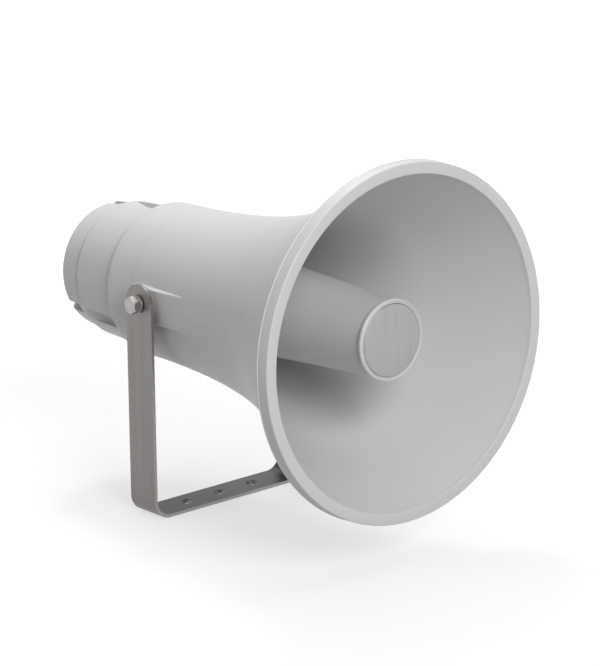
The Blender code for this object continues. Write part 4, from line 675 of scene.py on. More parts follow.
# %% Side pads, bosses and holes
PAD_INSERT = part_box("pad_insert_right")
PAD_FACE = PAD_INSERT[1].x + SEAT_GAP
PAD_PLATE = PAD_FACE - 0.0025
PAD_SEAT_RADIUS = 0.0095
PAD_ABOVE = 0.0119
PAD_BELOW = 0.0158
PAD_DROP = 0.046
PAD_FLAT_FRONT = PIVOT_DEPTH - 0.0135
PAD_FRONT = PIVOT_DEPTH - 0.0615
PAD_LEAN = math.tan(math.radians(2.9))
PAD_TIP = PAD_PLATE - PAD_LEAN * (PAD_FLAT_FRONT - PAD_FRONT)
PAD_BACK = 0.0165
PAD_ROUND = 0.0016
SCREW_CLOCKS = (0, 120, 240)
POST_CLOCKS = (60, 180, 300)
SCREW_CIRCLE = sum(corner.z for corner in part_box("housing_insert_1")) / 2 - AXIS.z
BOSS_RADIUS = 0.0052
BOSS_LENGTH = 0.0185
POST_RADIUS = 0.0050
POST_HEIGHT = 0.0048
POST_CIRCLE = SCREW_CIRCLE - 0.0020
WEB_HALF = 0.0021


def side_pads():
    """The two blocks, with the rim of each outer face rounded."""
    bm = bmesh.new()
    root = COLLAR_RADIUS - BELL_WALL / 2
    depths = (PAD_FRONT, PAD_FLAT_FRONT, PIVOT_DEPTH + PAD_BACK)
    for side in (-1, 1):
        lower = [(side * root, depth, PIVOT_RISE - PAD_BELOW - PAD_DROP * max(0, PIVOT_DEPTH - depth))
                 for depth in depths]
        upper = [(side * root, depth, PIVOT_RISE + PAD_ABOVE) for depth in depths]
        prism(bm, lower + upper[::-1], (side * (PAD_PLATE - root), 0, 0))
    outer = [vert for vert in bm.verts if abs(vert.co.x) > root + SEAT_GAP]
    for vert in outer:
        if vert.co.y < PAD_FRONT + SEAT_GAP:
            vert.co.x = math.copysign(PAD_TIP, vert.co.x)
    rim = []
    for edge in bm.edges:
        first, second = edge.verts
        upright = abs(first.co.z - second.co.z) > PAD_ABOVE
        if first in outer and second in outer and (first.co.y > PIVOT_DEPTH or not upright):
            rim.append(edge)
    round_edges(bm, rim, PAD_ROUND, 5)
    return bm


def pivot_rods(inner, outer, radius):
    """A cylinder on the pivot's line at each side, between two distances from the axis."""
    bm = bmesh.new()
    for side in (-1, 1):
        start, end = [(side * reach, PIVOT_DEPTH, PIVOT_RISE) for reach in (inner, outer)]
        rod(bm, start, end, radius)
    return bm


def screw_webs(depth_from, depth_to, outer):
    """A thin web from each long screw out to a radius."""
    bm = bmesh.new()
    for clock in SCREW_CLOCKS:
        prism(bm, [(-WEB_HALF, depth_from, SCREW_CIRCLE), (-WEB_HALF, depth_from, outer),
                   (-WEB_HALF, depth_to, outer), (-WEB_HALF, depth_to, SCREW_CIRCLE)],
              (2 * WEB_HALF, 0, 0), clock)
    return bm


def screw_rods(front, rear, radius):
    """One rod at each long housing screw."""
    return rods(front, rear, radius, 32, SCREW_CLOCKS, SCREW_CIRCLE)


def driver_chamber():
    """The space behind the dished wall, less the posts, webs and bosses that stand in it."""
    chamber = SLEEVE_RADIUS - SLEEVE_WALL
    wall_rear = DISH_START + DISH_DEPTH + BELL_WALL
    wall_front = wall_rear - BELL_WALL
    spigot_bore = SPIGOT_RADIUS + SEAT_GAP
    ledge_front = LEDGE_REAR - LEDGE_THICKNESS
    reach = dish_reach() + BELL_WALL
    wall_angle = math.degrees(math.acos(min(1, (chamber - DISH_LAND_RADIUS) / reach)))
    points = [(0, wall_front - OVERCUT), (spigot_bore, wall_front - OVERCUT), (spigot_bore, HUB_REAR),
              (HUB_RADIUS, HUB_REAR), (HUB_RADIUS, wall_rear)]
    points += arc((DISH_LAND_RADIUS, DISH_START), (reach, DISH_DEPTH + BELL_WALL), 90, wall_angle, 12)
    points += [(chamber, ledge_front), (LEDGE_RADIUS, ledge_front), (LEDGE_RADIUS, LEDGE_REAR),
               (SOCKET_RADIUS, LEDGE_REAR), (SOCKET_RADIUS, COLLAR_END + OVERCUT),
               (0, COLLAR_END + OVERCUT)]
    made = mesh_object("chamber", lathe(points))
    posts = rods(wall_front, wall_rear + POST_HEIGHT, POST_RADIUS, 32, POST_CLOCKS, POST_CIRCLE)
    combine(made, posts, "DIFFERENCE")
    combine(made, screw_webs(LEDGE_REAR - BOSS_LENGTH + BELL_WALL, LEDGE_REAR - LEDGE_THICKNESS / 2,
                             COLLAR_RADIUS), "DIFFERENCE")
    bosses = screw_rods(LEDGE_REAR - BOSS_LENGTH, HOUSING_FRONT - SEAT_GAP, BOSS_RADIUS)
    return taken(combine(made, bosses, "DIFFERENCE"))


# %% Bell and collar
def bell():
    """The bell with its pads, the seats of the washers and the holes of the pivot inserts."""
    low, high = PAD_INSERT
    seats = pivot_rods(COLLAR_RADIUS + BELL_WALL / 2, PAD_FACE, PAD_SEAT_RADIUS)
    holes = pivot_rods(low.x - SEAT_GAP, PAD_FACE + OVERCUT, (high.z - low.z) / 2 + SEAT_GAP)
    made = mesh_object("bell", bell_outside())
    combine(made, side_pads(), "UNION")
    combine(made, seats, "UNION")
    combine(made, sound_space(), "DIFFERENCE")
    combine(made, bell_bore(), "DIFFERENCE")
    combine(made, holes, "DIFFERENCE")
    return finish_piece(made, "horn_plastic", "horn", "horn_bell")


def rear_collar():
    """The sleeve, the dished wall with its bosses and the collar."""
    made = mesh_object("rear_collar", collar_outside())
    combine(made, sound_space(), "DIFFERENCE")
    combine(made, driver_chamber(), "DIFFERENCE")
    return finish_piece(made, "horn_plastic", "horn", "horn_collar")


bell()
rear_collar()

# %% [markdown]
# ## Throat tube and bullet
# The driver's sound leaves through a narrow tube towards the mouth, turns back inside the bullet and
# turns forward again at the dished wall. From the front only the bullet shows, and deep behind it the
# tube's foot. The bullet's edge round the disc has a tight bright shoulder.

# %% Throat tube
TUBE_FRONT, TUBE_REAR = depth_span("throat_tube")
THROAT_RADIUS = 0.0095
THROAT_MOUTH_RADIUS = 0.018
THROAT_WALL = 0.0020
THROAT_FRONT = 0.050
FLANGE_REAR = DISH_START + DISH_DEPTH - SEAT_GAP
FOOT_LENGTH = 0.0217
PILLAR_CIRCLE = 0.0213
PILLAR_RADIUS = 0.0033


def throat_bore(depth):
    """The bore of the tube, which widens exponentially towards the front."""
    way = (TUBE_REAR - depth) / (TUBE_REAR - THROAT_FRONT)
    return THROAT_RADIUS * (THROAT_MOUTH_RADIUS / THROAT_RADIUS) ** way


def throat_tube():
    """The tube with its flared foot and the three pillars that carry the bullet."""
    flange_radius = half_width("throat_tube")
    foot_front = FLANGE_REAR - FOOT_LENGTH - BELL_WALL
    depths = [TUBE_REAR + (THROAT_FRONT - TUBE_REAR) * step / 20 for step in range(21)]
    profile = [(throat_bore(depth), depth) for depth in depths]
    depths = [THROAT_FRONT + (foot_front - THROAT_FRONT) * step / 16 for step in range(16)]
    profile += [(throat_bore(depth) + THROAT_WALL, depth) for depth in depths]
    reach = flange_radius - throat_bore(foot_front) - THROAT_WALL
    profile += arc((flange_radius, foot_front), (reach, FOOT_LENGTH), 180, 90, 12)
    profile += [(flange_radius, FLANGE_REAR), (SPIGOT_RADIUS, FLANGE_REAR), (SPIGOT_RADIUS, TUBE_REAR)]
    made = mesh_object("throat", lathe(profile, SMALL_STEPS, True))
    pillars = rods(TUBE_FRONT, THROAT_FRONT + PILLAR_RADIUS * 4, PILLAR_RADIUS, 24, SCREW_CLOCKS,
                   PILLAR_CIRCLE)
    combine(made, pillars, "UNION")
    return finish_piece(made, "inner_plastic", "horn", "throat_tube")


throat_tube()

# %% Bullet
BULLET_FRONT, BULLET_REAR = depth_span("bullet")
BULLET_FRONT_RADIUS = 0.0299
BULLET_RING_RADIUS = 0.0321
BULLET_RING_LENGTH = 0.0030
BULLET_ROUND = 0.0016
BULLET_WALL = 0.0025
BULLET_TAPER = math.tan(math.radians(3.30))
BULLET_LIP = 0.0004
SPREADER = ((0.010, 0.0030), (0.005, 0.0080), (0, 0.015))
BADGE_REAR = depth_span("badge_disc")[1]
BADGE_RADIUS = half_width("badge_disc") - 0.0009
BADGE_FLOOR = BADGE_REAR + SEAT_GAP
BULLET_LAND = TUBE_FRONT - SEAT_GAP


def bullet_radius(depth):
    """The outside of the bullet, which widens towards the rear."""
    return BULLET_FRONT_RADIUS + BULLET_TAPER * (depth - BULLET_FRONT)


def bullet():
    """The bullet: a recess for the disc, two fine rings round it, a long wall and an open rear."""
    rear_round = BULLET_WALL / 2
    rear_radius = bullet_radius(BULLET_REAR) - rear_round
    rear_edge = BULLET_REAR - rear_round
    lip = BULLET_LIP
    inner = BADGE_RADIUS + SEAT_GAP
    profile = [(0, BADGE_FLOOR), (inner, BADGE_FLOOR)]
    profile += arc((inner + lip, BULLET_FRONT + lip), (lip, lip), 180, 360, 8)
    profile += [(inner + 2 * lip, BULLET_FRONT + 2 * lip), (inner + 3 * lip, BULLET_FRONT + 2 * lip)]
    shoulder = arc((BULLET_RING_RADIUS - BULLET_ROUND, BULLET_FRONT + BULLET_ROUND),
                   (BULLET_ROUND, BULLET_ROUND), -90, 0, 8)
    profile += [point for point in shoulder if point[0] > profile[-1][0]]
    ring_rear = BULLET_FRONT + BULLET_RING_LENGTH
    profile += [(BULLET_RING_RADIUS, ring_rear - lip), (BULLET_RING_RADIUS - lip, ring_rear),
                (bullet_radius(ring_rear), ring_rear + lip)]
    profile += straight(profile[-1], (bullet_radius(rear_edge), rear_edge), 40)
    profile += arc((rear_radius, rear_edge), (rear_round, rear_round), 0, 180, 8)[1:]
    land = PILLAR_CIRCLE + PILLAR_RADIUS + SEAT_GAP
    dish = BULLET_WALL * 4
    dish_radius = bullet_radius(BULLET_LAND + dish) - BULLET_WALL
    profile += arc((land, BULLET_LAND + dish), (dish_radius - land, dish), 0, -90, 12)
    profile += [(PILLAR_CIRCLE - PILLAR_RADIUS, BULLET_LAND)]
    profile += [(radius, BULLET_LAND + rise) for radius, rise in SPREADER]
    made = mesh_object("bullet_cone", lathe(profile))
    return finish_piece(made, "horn_plastic", "horn", "bullet")


def disc():
    """The plain aluminium disc, level with the rings round it, with its corners broken."""
    edge = 0.0003
    profile = [(0, BULLET_FRONT), (BADGE_RADIUS * 0.5, BULLET_FRONT)]
    profile += arc((BADGE_RADIUS - edge, BULLET_FRONT + edge), (edge, edge), -90, 0, 4)
    profile += [(BADGE_RADIUS, BADGE_REAR), (0, BADGE_REAR)]
    made = mesh_object("disc", lathe(profile))
    return finish_piece(made, "aluminium", "horn", "badge_disc")


bullet()
disc()

# %% [markdown]
# ## Driver housing and back cap
# The housing is a slightly tapered shell. Three channels are sunk in it where the long screws run,
# and each rises to the rear in a long slope. The cap behind it has a wide round corner, an open
# pocket over each screw and three low feet. Booleans cut the channels and pockets from turned shells.

# %% Driver housing
HOUSING_RADIUS = half_width("driver_housing")
HOUSING_REAR_RADIUS = HOUSING_RADIUS - 0.0020
HOUSING_WALL = 0.0025
HOUSING_LIP = 0.0050
LIP_THICKNESS = 0.0030
CHANNEL_WIDTH = 0.0118
CHANNEL_TOP = HOUSING_RADIUS + OVERCUT
CHANNEL_FLOOR = SCREW_CIRCLE + 0.0052
CHANNEL_ROUND = 0.0022
CHANNEL_WALL = 0.0022
CHANNEL_SLOPE = 4.5
CHANNEL_STOP = 0.0015
CHANNEL_END = HOUSING_END - CHANNEL_STOP + CHANNEL_SLOPE * (CHANNEL_TOP - HOUSING_REAR_RADIUS)
TUBE_RADIUS = 0.0042
SCREW_HOLE = 0.0023
HOUSING_SOFT = 0.0006


def channel_bars(width, floor, front, rear, top):
    """Bars along the three channels, each with a sloping rear end."""
    bm = bmesh.new()
    slope = (top - floor) * CHANNEL_SLOPE
    for clock in SCREW_CLOCKS:
        prism(bm, [(-width / 2, front, floor), (-width / 2, rear - slope, floor),
                   (-width / 2, rear, top), (-width / 2, front, top)], (width, 0, 0), clock)
    return bm


def driver_housing():
    """The shell with its lip, liners, webs, screw tubes and sunk channels."""
    soft = HOUSING_SOFT
    outside = [(0, HOUSING_FRONT), (HOUSING_RADIUS, HOUSING_FRONT), (HOUSING_RADIUS, COLLAR_END)]
    outside += straight(outside[-1], (HOUSING_REAR_RADIUS, HOUSING_END - soft), 20)
    outside += arc((HOUSING_REAR_RADIUS - soft, HOUSING_END - soft), (soft, soft), 0, 90, 4)[1:]
    made = mesh_object("housing", lathe(outside + [(0, HOUSING_END)]))
    wide, narrow = HOUSING_RADIUS - HOUSING_WALL, HOUSING_REAR_RADIUS - HOUSING_WALL
    lip, lip_front = HOUSING_REAR_RADIUS - HOUSING_LIP, HOUSING_END - LIP_THICKNESS
    inside = mesh_object("inside", lathe([(0, HOUSING_FRONT - OVERCUT), (wide, HOUSING_FRONT - OVERCUT),
                                          (wide, COLLAR_END), (narrow, lip_front), (lip, lip_front),
                                          (lip, HOUSING_END + OVERCUT), (0, HOUSING_END + OVERCUT)]))
    liners = channel_bars(CHANNEL_WIDTH + 2 * CHANNEL_WALL, CHANNEL_FLOOR - CHANNEL_WALL,
                          COLLAR_END - CHANNEL_WALL, CHANNEL_END + CHANNEL_WALL, CHANNEL_TOP)
    combine(inside, liners, "DIFFERENCE")
    front, rear = HOUSING_FRONT - 2 * OVERCUT, HOUSING_END + 2 * OVERCUT
    combine(inside, screw_webs(front, rear, HOUSING_RADIUS), "DIFFERENCE")
    combine(inside, screw_rods(front, rear, TUBE_RADIUS), "DIFFERENCE")
    combine(made, taken(inside), "DIFFERENCE")
    bars = channel_bars(CHANNEL_WIDTH, CHANNEL_FLOOR, COLLAR_END + 2 * SEAT_GAP, CHANNEL_END, CHANNEL_TOP)
    low = CHANNEL_FLOOR + CHANNEL_WIDTH / 10
    floor_edges = [edge for edge in bars.edges
                   if all(math.hypot(vert.co.x, vert.co.z) < low for vert in edge.verts)]
    round_edges(bars, floor_edges, CHANNEL_ROUND, 6)
    combine(made, bars, "DIFFERENCE")
    combine(made, screw_rods(HOUSING_FRONT - OVERCUT, HOUSING_END + OVERCUT, SCREW_HOLE), "DIFFERENCE")
    return finish_piece(made, "horn_plastic", "horn", "driver_housing")


driver_housing()

# %% Rear seal
def rear_seal():
    """The soft ring that shows as a dark line between housing and cap."""
    front, rear = depth_span("rear_seal")
    outer = half_width("rear_seal")
    inner = HOUSING_REAR_RADIUS - HOUSING_LIP + SEAT_GAP
    swell = (rear - front) / 2
    profile = [(inner, front)] + arc((outer - swell, front + swell), (swell, swell), -90, 90, 8)
    made = mesh_object("rear_seal_ring", lathe(profile + [(inner, rear)], closed=True))
    return finish_piece(made, "rubber", "horn", "rear_seal")


rear_seal()

# %% Back cap
CAP_FRONT = depth_span("rear_seal")[1] + SEAT_GAP
CAP_RADIUS = half_width("back_cap")
CAP_REAR_RADIUS = CAP_RADIUS - 0.0018
CAP_FOOT = 0.0016
CAP_REAR = depth_span("back_cap")[1] - CAP_FOOT
CAP_ROUND = 0.0090
CAP_WALL = 0.0025
CAP_LIP_ROUND = 0.0008
POCKET_RADIUS = 0.0046
POCKET_FLOOR = CAP_FRONT + 0.0067
POCKET_WALL = 0.0020
FOOT_CLOCKS = (50, 170, 290)
FOOT_LENGTH_ACROSS = 0.0090
FOOT_WIDTH = 0.0045
FOOT_OUTER = CAP_REAR_RADIUS - 0.0064
GLAND_DROP = AXIS.z - sum(corner.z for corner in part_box("gland_nut")) / 2
GLAND_HOLE = 0.0062


def pocket_bars(radius, front, rear):
    """Bars with the outline of an open screw pocket at the three screws."""
    bm = bmesh.new()
    outline = [(x, front, z) for x, z in arc((0, SCREW_CIRCLE), (radius, radius), 180, 360, 24)]
    outline += [(radius, front, CAP_RADIUS + OVERCUT), (-radius, front, CAP_RADIUS + OVERCUT)]
    for clock in SCREW_CLOCKS:
        prism(bm, outline, (0, rear - front, 0), clock)
    return bm


def cap_outline(inset, rear):
    """The outline of the cap, set in by inset, from its front edge to its rear face."""
    corner_radius = CAP_REAR_RADIUS - CAP_ROUND
    corner_depth = CAP_REAR - CAP_ROUND
    start = (CAP_RADIUS - inset, CAP_FRONT + CAP_LIP_ROUND)
    points = straight(start, (CAP_REAR_RADIUS - inset, corner_depth), 8)
    return [start] + points + arc((corner_radius, corner_depth), (CAP_ROUND - inset, rear - corner_depth),
                                  0, 90, 16)[1:]


def cap_feet():
    """The three low feet on the rear face, with rounded corners."""
    bm = bmesh.new()
    half, root = FOOT_LENGTH_ACROSS / 2, CAP_REAR - CAP_WALL / 2
    outline = [(-half, root, FOOT_OUTER - FOOT_WIDTH), (half, root, FOOT_OUTER - FOOT_WIDTH),
               (half, root, FOOT_OUTER), (-half, root, FOOT_OUTER)]
    for clock in FOOT_CLOCKS:
        prism(bm, outline, (0, CAP_WALL / 2 + CAP_FOOT, 0), clock)
    shown = [edge for edge in bm.edges if any(vert.co.y > CAP_REAR for vert in edge.verts)]
    round_edges(bm, shown, CAP_FOOT / 3, 3)
    return bm


def back_cap():
    """The cap with its pockets, feet, screw bosses and the hole for the gland."""
    corner = CAP_LIP_ROUND
    lip = arc((CAP_RADIUS - corner, CAP_FRONT + corner), (corner, corner), -90, 0, 4)[:-1]
    outside = [(0, CAP_FRONT)] + lip + cap_outline(0, CAP_REAR) + [(0, CAP_REAR)]
    made = mesh_object("cap", lathe(outside))
    inner_rear, outer_rear = CAP_REAR - CAP_WALL, CAP_REAR + OVERCUT
    hollow = [(0, CAP_FRONT - OVERCUT), (CAP_RADIUS - CAP_WALL, CAP_FRONT - OVERCUT)]
    hollow += cap_outline(CAP_WALL, inner_rear) + [(0, inner_rear)]
    inside = mesh_object("inside", lathe(hollow))
    combine(inside, pocket_bars(POCKET_RADIUS + POCKET_WALL, POCKET_FLOOR - CAP_WALL, outer_rear),
            "DIFFERENCE")
    combine(made, taken(inside), "DIFFERENCE")
    combine(made, cap_feet(), "UNION")
    combine(made, pocket_bars(POCKET_RADIUS, POCKET_FLOOR, outer_rear), "DIFFERENCE")
    combine(made, screw_rods(HOUSING_END + SEAT_GAP, POCKET_FLOOR - CAP_WALL / 2, TUBE_RADIUS), "UNION")
    combine(made, screw_rods(HOUSING_END - OVERCUT, POCKET_FLOOR + OVERCUT, SCREW_HOLE), "DIFFERENCE")
    hole = rods(inner_rear - OVERCUT, outer_rear, GLAND_HOLE, clocks=(180,), circle=GLAND_DROP)
    combine(made, hole, "DIFFERENCE")
    return finish_piece(made, "horn_plastic", "horn", "back_cap")


back_cap()

# %% [markdown]
# ## Screws with a cross recess
# At the bottom of each pocket sits the pan head of a long screw. The head is turned from a domed
# profile, and a cross of two tapered bars is cut into it. Each screw stopped at its own angle.

# %% Housing screws
SCREW_RADIUS = 0.0020
HEAD_RADIUS = 0.0040
HEAD_HEIGHT = 0.0026
CROSS_LENGTH = 0.0046
CROSS_WIDTH = 0.0010
CROSS_DEPTH = 0.0015
HEAD_TURN = 17


def housing_screws():
    """Three long pan-head screws, one in each pocket."""
    for number, clock in enumerate(SCREW_CLOCKS, 1):
        front, rear = depth_span(f"housing_screw_{number}")
        seat = rear - HEAD_HEIGHT
        dome = arc((0, seat + HEAD_HEIGHT * 0.4), (HEAD_RADIUS, HEAD_HEIGHT * 0.6), 0, 90, 10)
        profile = [(0, front), (SCREW_RADIUS, front), (SCREW_RADIUS, seat), (HEAD_RADIUS, seat)] + dome
        made = mesh_object(f"long_screw_{number}", lathe(profile, 32))
        half, width, floor = CROSS_LENGTH / 2, CROSS_WIDTH / 2, CROSS_LENGTH / 5
        for turn in (0, 90):
            bar = bmesh.new()
            prism(bar, [(-half, rear + OVERCUT, -width), (half, rear + OVERCUT, -width),
                        (floor, rear - CROSS_DEPTH, -width), (-floor, rear - CROSS_DEPTH, -width)],
                  (0, 0, CROSS_WIDTH), turn + number * HEAD_TURN)
            combine(made, bar, "DIFFERENCE")
        made.location = AXIS + polar(SCREW_CIRCLE, clock, 0)
        finish_piece(made, "bolt_steel", "horn", f"housing_screw_{number}")


housing_screws()

# %% [markdown]
# ## Cable gland
# The speaker's cable would leave through a small gland under the middle of the cap. Its body has a
# hexagon against the cap, and its domed nut has grip ribs and squeezes a rubber ring.

# %% Cable gland
GLAND = AXIS - Vector((0, 0, GLAND_DROP))
GLAND_BORE = 0.0036
GLAND_THREAD = 0.0059
GLAND_FLATS = 0.018
GLAND_FLANGE = 0.0050
NUT_WALL = 0.0022
NUT_RIBS = 12
NUT_EDGE = 0.0003
GROOVE_RADIUS = 0.0011
GROOVE_OUT = 0.0006
GROOVE_FRONT = 0.0012
RING_EDGE = 0.0004


def hexagon(flats, front, rear):
    """A hexagonal bar along the axis."""
    return rods(front, rear, flats / 2 / math.cos(math.radians(30)), 6)


def turned_corners(front, end, corners):
    """A bar turned off towards its end; each corner is a radius and a distance below the end."""
    profile = [(0, front - OVERCUT), (corners[0][0], front - OVERCUT)]
    profile += [(radius, end - below) for radius, below in corners]
    return lathe(profile + [(0, end)], SMALL_STEPS)


def gland_body():
    """The gland's body: thread, chamfered hexagon and neck with a bore through it."""
    front, rear = depth_span("gland_body")
    face = CAP_REAR + SEAT_GAP
    middle, end = face + GLAND_FLANGE / 2, face + GLAND_FLANGE
    wide = GLAND_FLATS / 2 * 1.035
    made = mesh_object("gland_hexagon", hexagon(GLAND_FLATS, face, end), GLAND)
    combine(made, turned_corners(face, end, ((wide * 1.2, 0.0020), (wide, 0.0008), (wide - 0.0012, 0))),
            "INTERSECT")
    combine(made, rods(middle, rear, GLAND_BORE + NUT_WALL), "UNION")
    combine(made, rods(front, middle, GLAND_THREAD), "UNION")
    combine(made, rods(front - OVERCUT, rear + OVERCUT, GLAND_BORE), "DIFFERENCE")
    return finish_piece(made, "horn_plastic", "horn", "gland_body")


def gland_nut():
    """The domed nut with shallow grip grooves round it."""
    front, rear = depth_span("gland_nut")
    outer = half_width("gland_nut")
    bore = outer - NUT_WALL
    seal_rear = depth_span("gland_seal")[1]
    profile = [(bore, front), (outer - NUT_EDGE, front), (outer, front + NUT_EDGE)]
    profile += straight(profile[-1], (outer, rear - NUT_WALL), 3)
    profile += arc((outer - NUT_WALL, rear - NUT_WALL), (NUT_WALL, NUT_WALL), 0, 90, 10)[1:]
    profile += [(GLAND_BORE + RING_EDGE, rear), (GLAND_BORE, rear - RING_EDGE),
                (GLAND_BORE, seal_rear + SEAT_GAP), (bore, seal_rear + SEAT_GAP)]
    made = mesh_object("gland_dome", lathe(profile, SMALL_STEPS, True), GLAND)
    clocks = [360 * (number + 0.5) / NUT_RIBS for number in range(NUT_RIBS)]
    grooves = rods(front + GROOVE_FRONT, rear - NUT_WALL, GROOVE_RADIUS, 16, clocks, outer + GROOVE_OUT)
    combine(made, grooves, "DIFFERENCE")
    return finish_piece(made, "horn_plastic", "horn", "gland_nut")


def gland_seal():
    """The rubber ring in the nut, with its small hole for the cable."""
    front, rear = depth_span("gland_seal")
    outer = half_width("gland_seal")
    bore = GLAND_BORE * 0.75
    profile = [(bore, front), (outer, front), (outer, rear), (bore + RING_EDGE, rear),
               (bore, rear - RING_EDGE)]
    made = mesh_object("gland_ring", lathe(profile, SMALL_STEPS, True), GLAND)
    return finish_piece(made, "rubber", "horn", "gland_seal")


gland_body()
gland_nut()
gland_seal()

# %% [markdown]
# ## Bracket
# The bracket is made the way the workshop makes it. A flat strip with round ends is drilled and
# countersunk, its edges are broken, and then it is folded round two bends into a U whose arms lean a
# little inwards. Folding is a function that carries each point of the flat strip to its place.

# %% Sizes of the strip
STRIP_THICKNESS = 0.0025
BEND_RADIUS = 0.0125
BRACKET_SPREAD = 0.0028
STRIP_LOW, STRIP_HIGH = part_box("bracket")
STRIP_HALF = (STRIP_HIGH.y - STRIP_LOW.y) / 2
NEUTRAL = STRIP_THICKNESS / 2
BEND_MIDDLE = BEND_RADIUS + NEUTRAL
LEAN = math.atan(BRACKET_SPREAD / (PIVOT.z - BEND_RADIUS - STRIP_THICKNESS))
BEND_TURN = math.pi / 2 + LEAN
ARM_AT_PIVOT = (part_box("friction_washer_right")[1].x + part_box("spring_washer_right")[0].x) / 2
ARM_START = NEUTRAL + BEND_MIDDLE * (1 + math.sin(LEAN))
ARM_LENGTH = (PIVOT.z - ARM_START) / math.cos(LEAN)
BASE_HALF = ARM_AT_PIVOT + ARM_LENGTH * math.sin(LEAN) - BEND_MIDDLE * math.cos(LEAN)
PIVOT_ALONG = BASE_HALF + BEND_MIDDLE * BEND_TURN + ARM_LENGTH
BOLT_HOLE = 0.0045
BASE_HOLE = 0.0030
BASE_SINK = 0.0054
BASE_HOLES = (-0.0347, 0, 0.0347)
SOFT_EDGE = 0.0002
print("flat strip length, mm:", round(2 * (PIVOT_ALONG + STRIP_HALF) * 1000, 1))


# %% Folding
def fold(along, across, over):
    """Where a point of the flat strip goes: along it, across it and over its middle layer."""
    side = -1 if along < 0 else 1
    way = abs(along)
    if way <= BASE_HALF:
        place, out = Vector((way, NEUTRAL)), Vector((0, -1))
    else:
        turn = min((way - BASE_HALF) / BEND_MIDDLE, BEND_TURN)
        out = Vector((math.sin(turn), -math.cos(turn)))
        place = Vector((BASE_HALF, NEUTRAL + BEND_MIDDLE)) + out * BEND_MIDDLE
        rest = way - BASE_HALF - BEND_MIDDLE * BEND_TURN
        if rest > 0:
            place += Vector((math.cos(turn), math.sin(turn))) * rest
    place += out * over
    return Vector((side * place.x, across, place.y))


def flat_strip():
    """The flat strip as a solid, with its long sides cut at every step of the bends."""
    bm = bmesh.new()
    right = [(BASE_HALF + BEND_MIDDLE * BEND_TURN * step / 20, STRIP_HALF) for step in range(21)]
    for step in range(25):
        angle = math.pi / 2 * step / 24
        right.append((PIVOT_ALONG + STRIP_HALF * math.sin(angle), STRIP_HALF * math.cos(angle)))
    left = [(-along, half) for along, half in reversed(right)]
    lower = []
    for along, half in left + right:
        if half < STRIP_HALF / 1000:
            point = bm.verts.new((along, 0, -NEUTRAL))
            lower.append((point, point))
        else:
            lower.append((bm.verts.new((along, -half, -NEUTRAL)), bm.verts.new((along, half, -NEUTRAL))))
    for (a, b), (c, d) in zip(lower, lower[1:]):
        corners = [a, c, d, b]
        bm.faces.new([vert for number, vert in enumerate(corners) if vert not in corners[:number]])
    swept = bmesh.ops.extrude_face_region(bm, geom=list(bm.faces))["geom"]
    bmesh.ops.translate(bm, verts=[item for item in swept if isinstance(item, bmesh.types.BMVert)],
                        vec=(0, 0, STRIP_THICKNESS))
    return bm


# %% Bracket
def bracket():
    """The strip, drilled, with broken edges, and folded into a U."""
    made = mesh_object("strip", flat_strip(), Vector((0, 0, 0)))
    drills, sinks = bmesh.new(), bmesh.new()
    holes = [(along, BASE_HOLE) for along in BASE_HOLES]
    for along, radius in holes + [(-PIVOT_ALONG, BOLT_HOLE), (PIVOT_ALONG, BOLT_HOLE)]:
        rod(drills, (along, 0, -OVERCUT), (along, 0, OVERCUT), radius, 48)
    for along in BASE_HOLES:
        bmesh.ops.create_cone(sinks, cap_ends=True, segments=48, radius1=BASE_SINK + STRIP_THICKNESS,
                              radius2=BASE_SINK - STRIP_THICKNESS, depth=2 * STRIP_THICKNESS,
                              matrix=Matrix.Translation((along, 0, -NEUTRAL)))
    combine(made, drills, "DIFFERENCE")
    combine(made, sinks, "DIFFERENCE")
    bm = taken(soften(made, SOFT_EDGE))
    flat_place = bm.verts.layers.float_vector.new("flat_place")
    for vert in bm.verts:
        vert[flat_place] = vert.co
        vert.co = fold(*vert.co)
    made = mesh_object("strip", bm, Vector((0, PIVOT.y, 0)))
    return finish_piece(made, "steel", "bracket", "bracket")


bracket()

# %% [markdown]
# ## Pivots
# A hexagon bolt on each side clamps the arm against the pad, through a split spring washer outside
# and a nylon washer inside. A forged hexagon head is a hexagonal bar whose corners are turned off by a
# cone, which leaves the curved edges seen on every real bolt.

# %% Pivot bolts
BOLT_RADIUS = 0.0039
BOLT_FLATS = 0.0130
BOLT_HEAD = 0.0062
BOLT_CORNERS = ((1.3, 0.0024), (1.155, 0.0016), (0.95, 0.0001), (0.92, 0))
WASHER_SLIT = 0.0012
WASHER_EDGE = 0.0002


def side_span(node):
    """How far a CAD node at the side starts and ends from the axis, and its radius."""
    low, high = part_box(node)
    return (*sorted((abs(low.x), abs(high.x))), (high.y - low.y) / 2)


def turned_out(bm, side):
    """Turns a shape made along +Y so that it points outwards from the pad."""
    turn = Matrix.Rotation(-side * math.pi / 2, 3, "Z")
    bmesh.ops.rotate(bm, verts=bm.verts, cent=(0, 0, 0), matrix=turn)
    return bm


def pivot_bolt(name, side):
    """A hexagon bolt with a chamfered head and a plain shank."""
    tip, end, _ = side_span(f"pivot_bolt_{name}")
    seat = end - BOLT_HEAD
    corners = [(BOLT_FLATS / 2 * wide, below) for wide, below in BOLT_CORNERS]
    made = mesh_object(f"bolt_{name}", turned_out(hexagon(BOLT_FLATS, seat, end), side), PIVOT)
    combine(made, turned_out(turned_corners(seat, end, corners), side), "INTERSECT")
    combine(made, turned_out(rods(tip, seat + BOLT_HEAD / 2, BOLT_RADIUS), side), "UNION")
    return finish_piece(made, "bolt_steel", "horn", f"pivot_bolt_{name}")


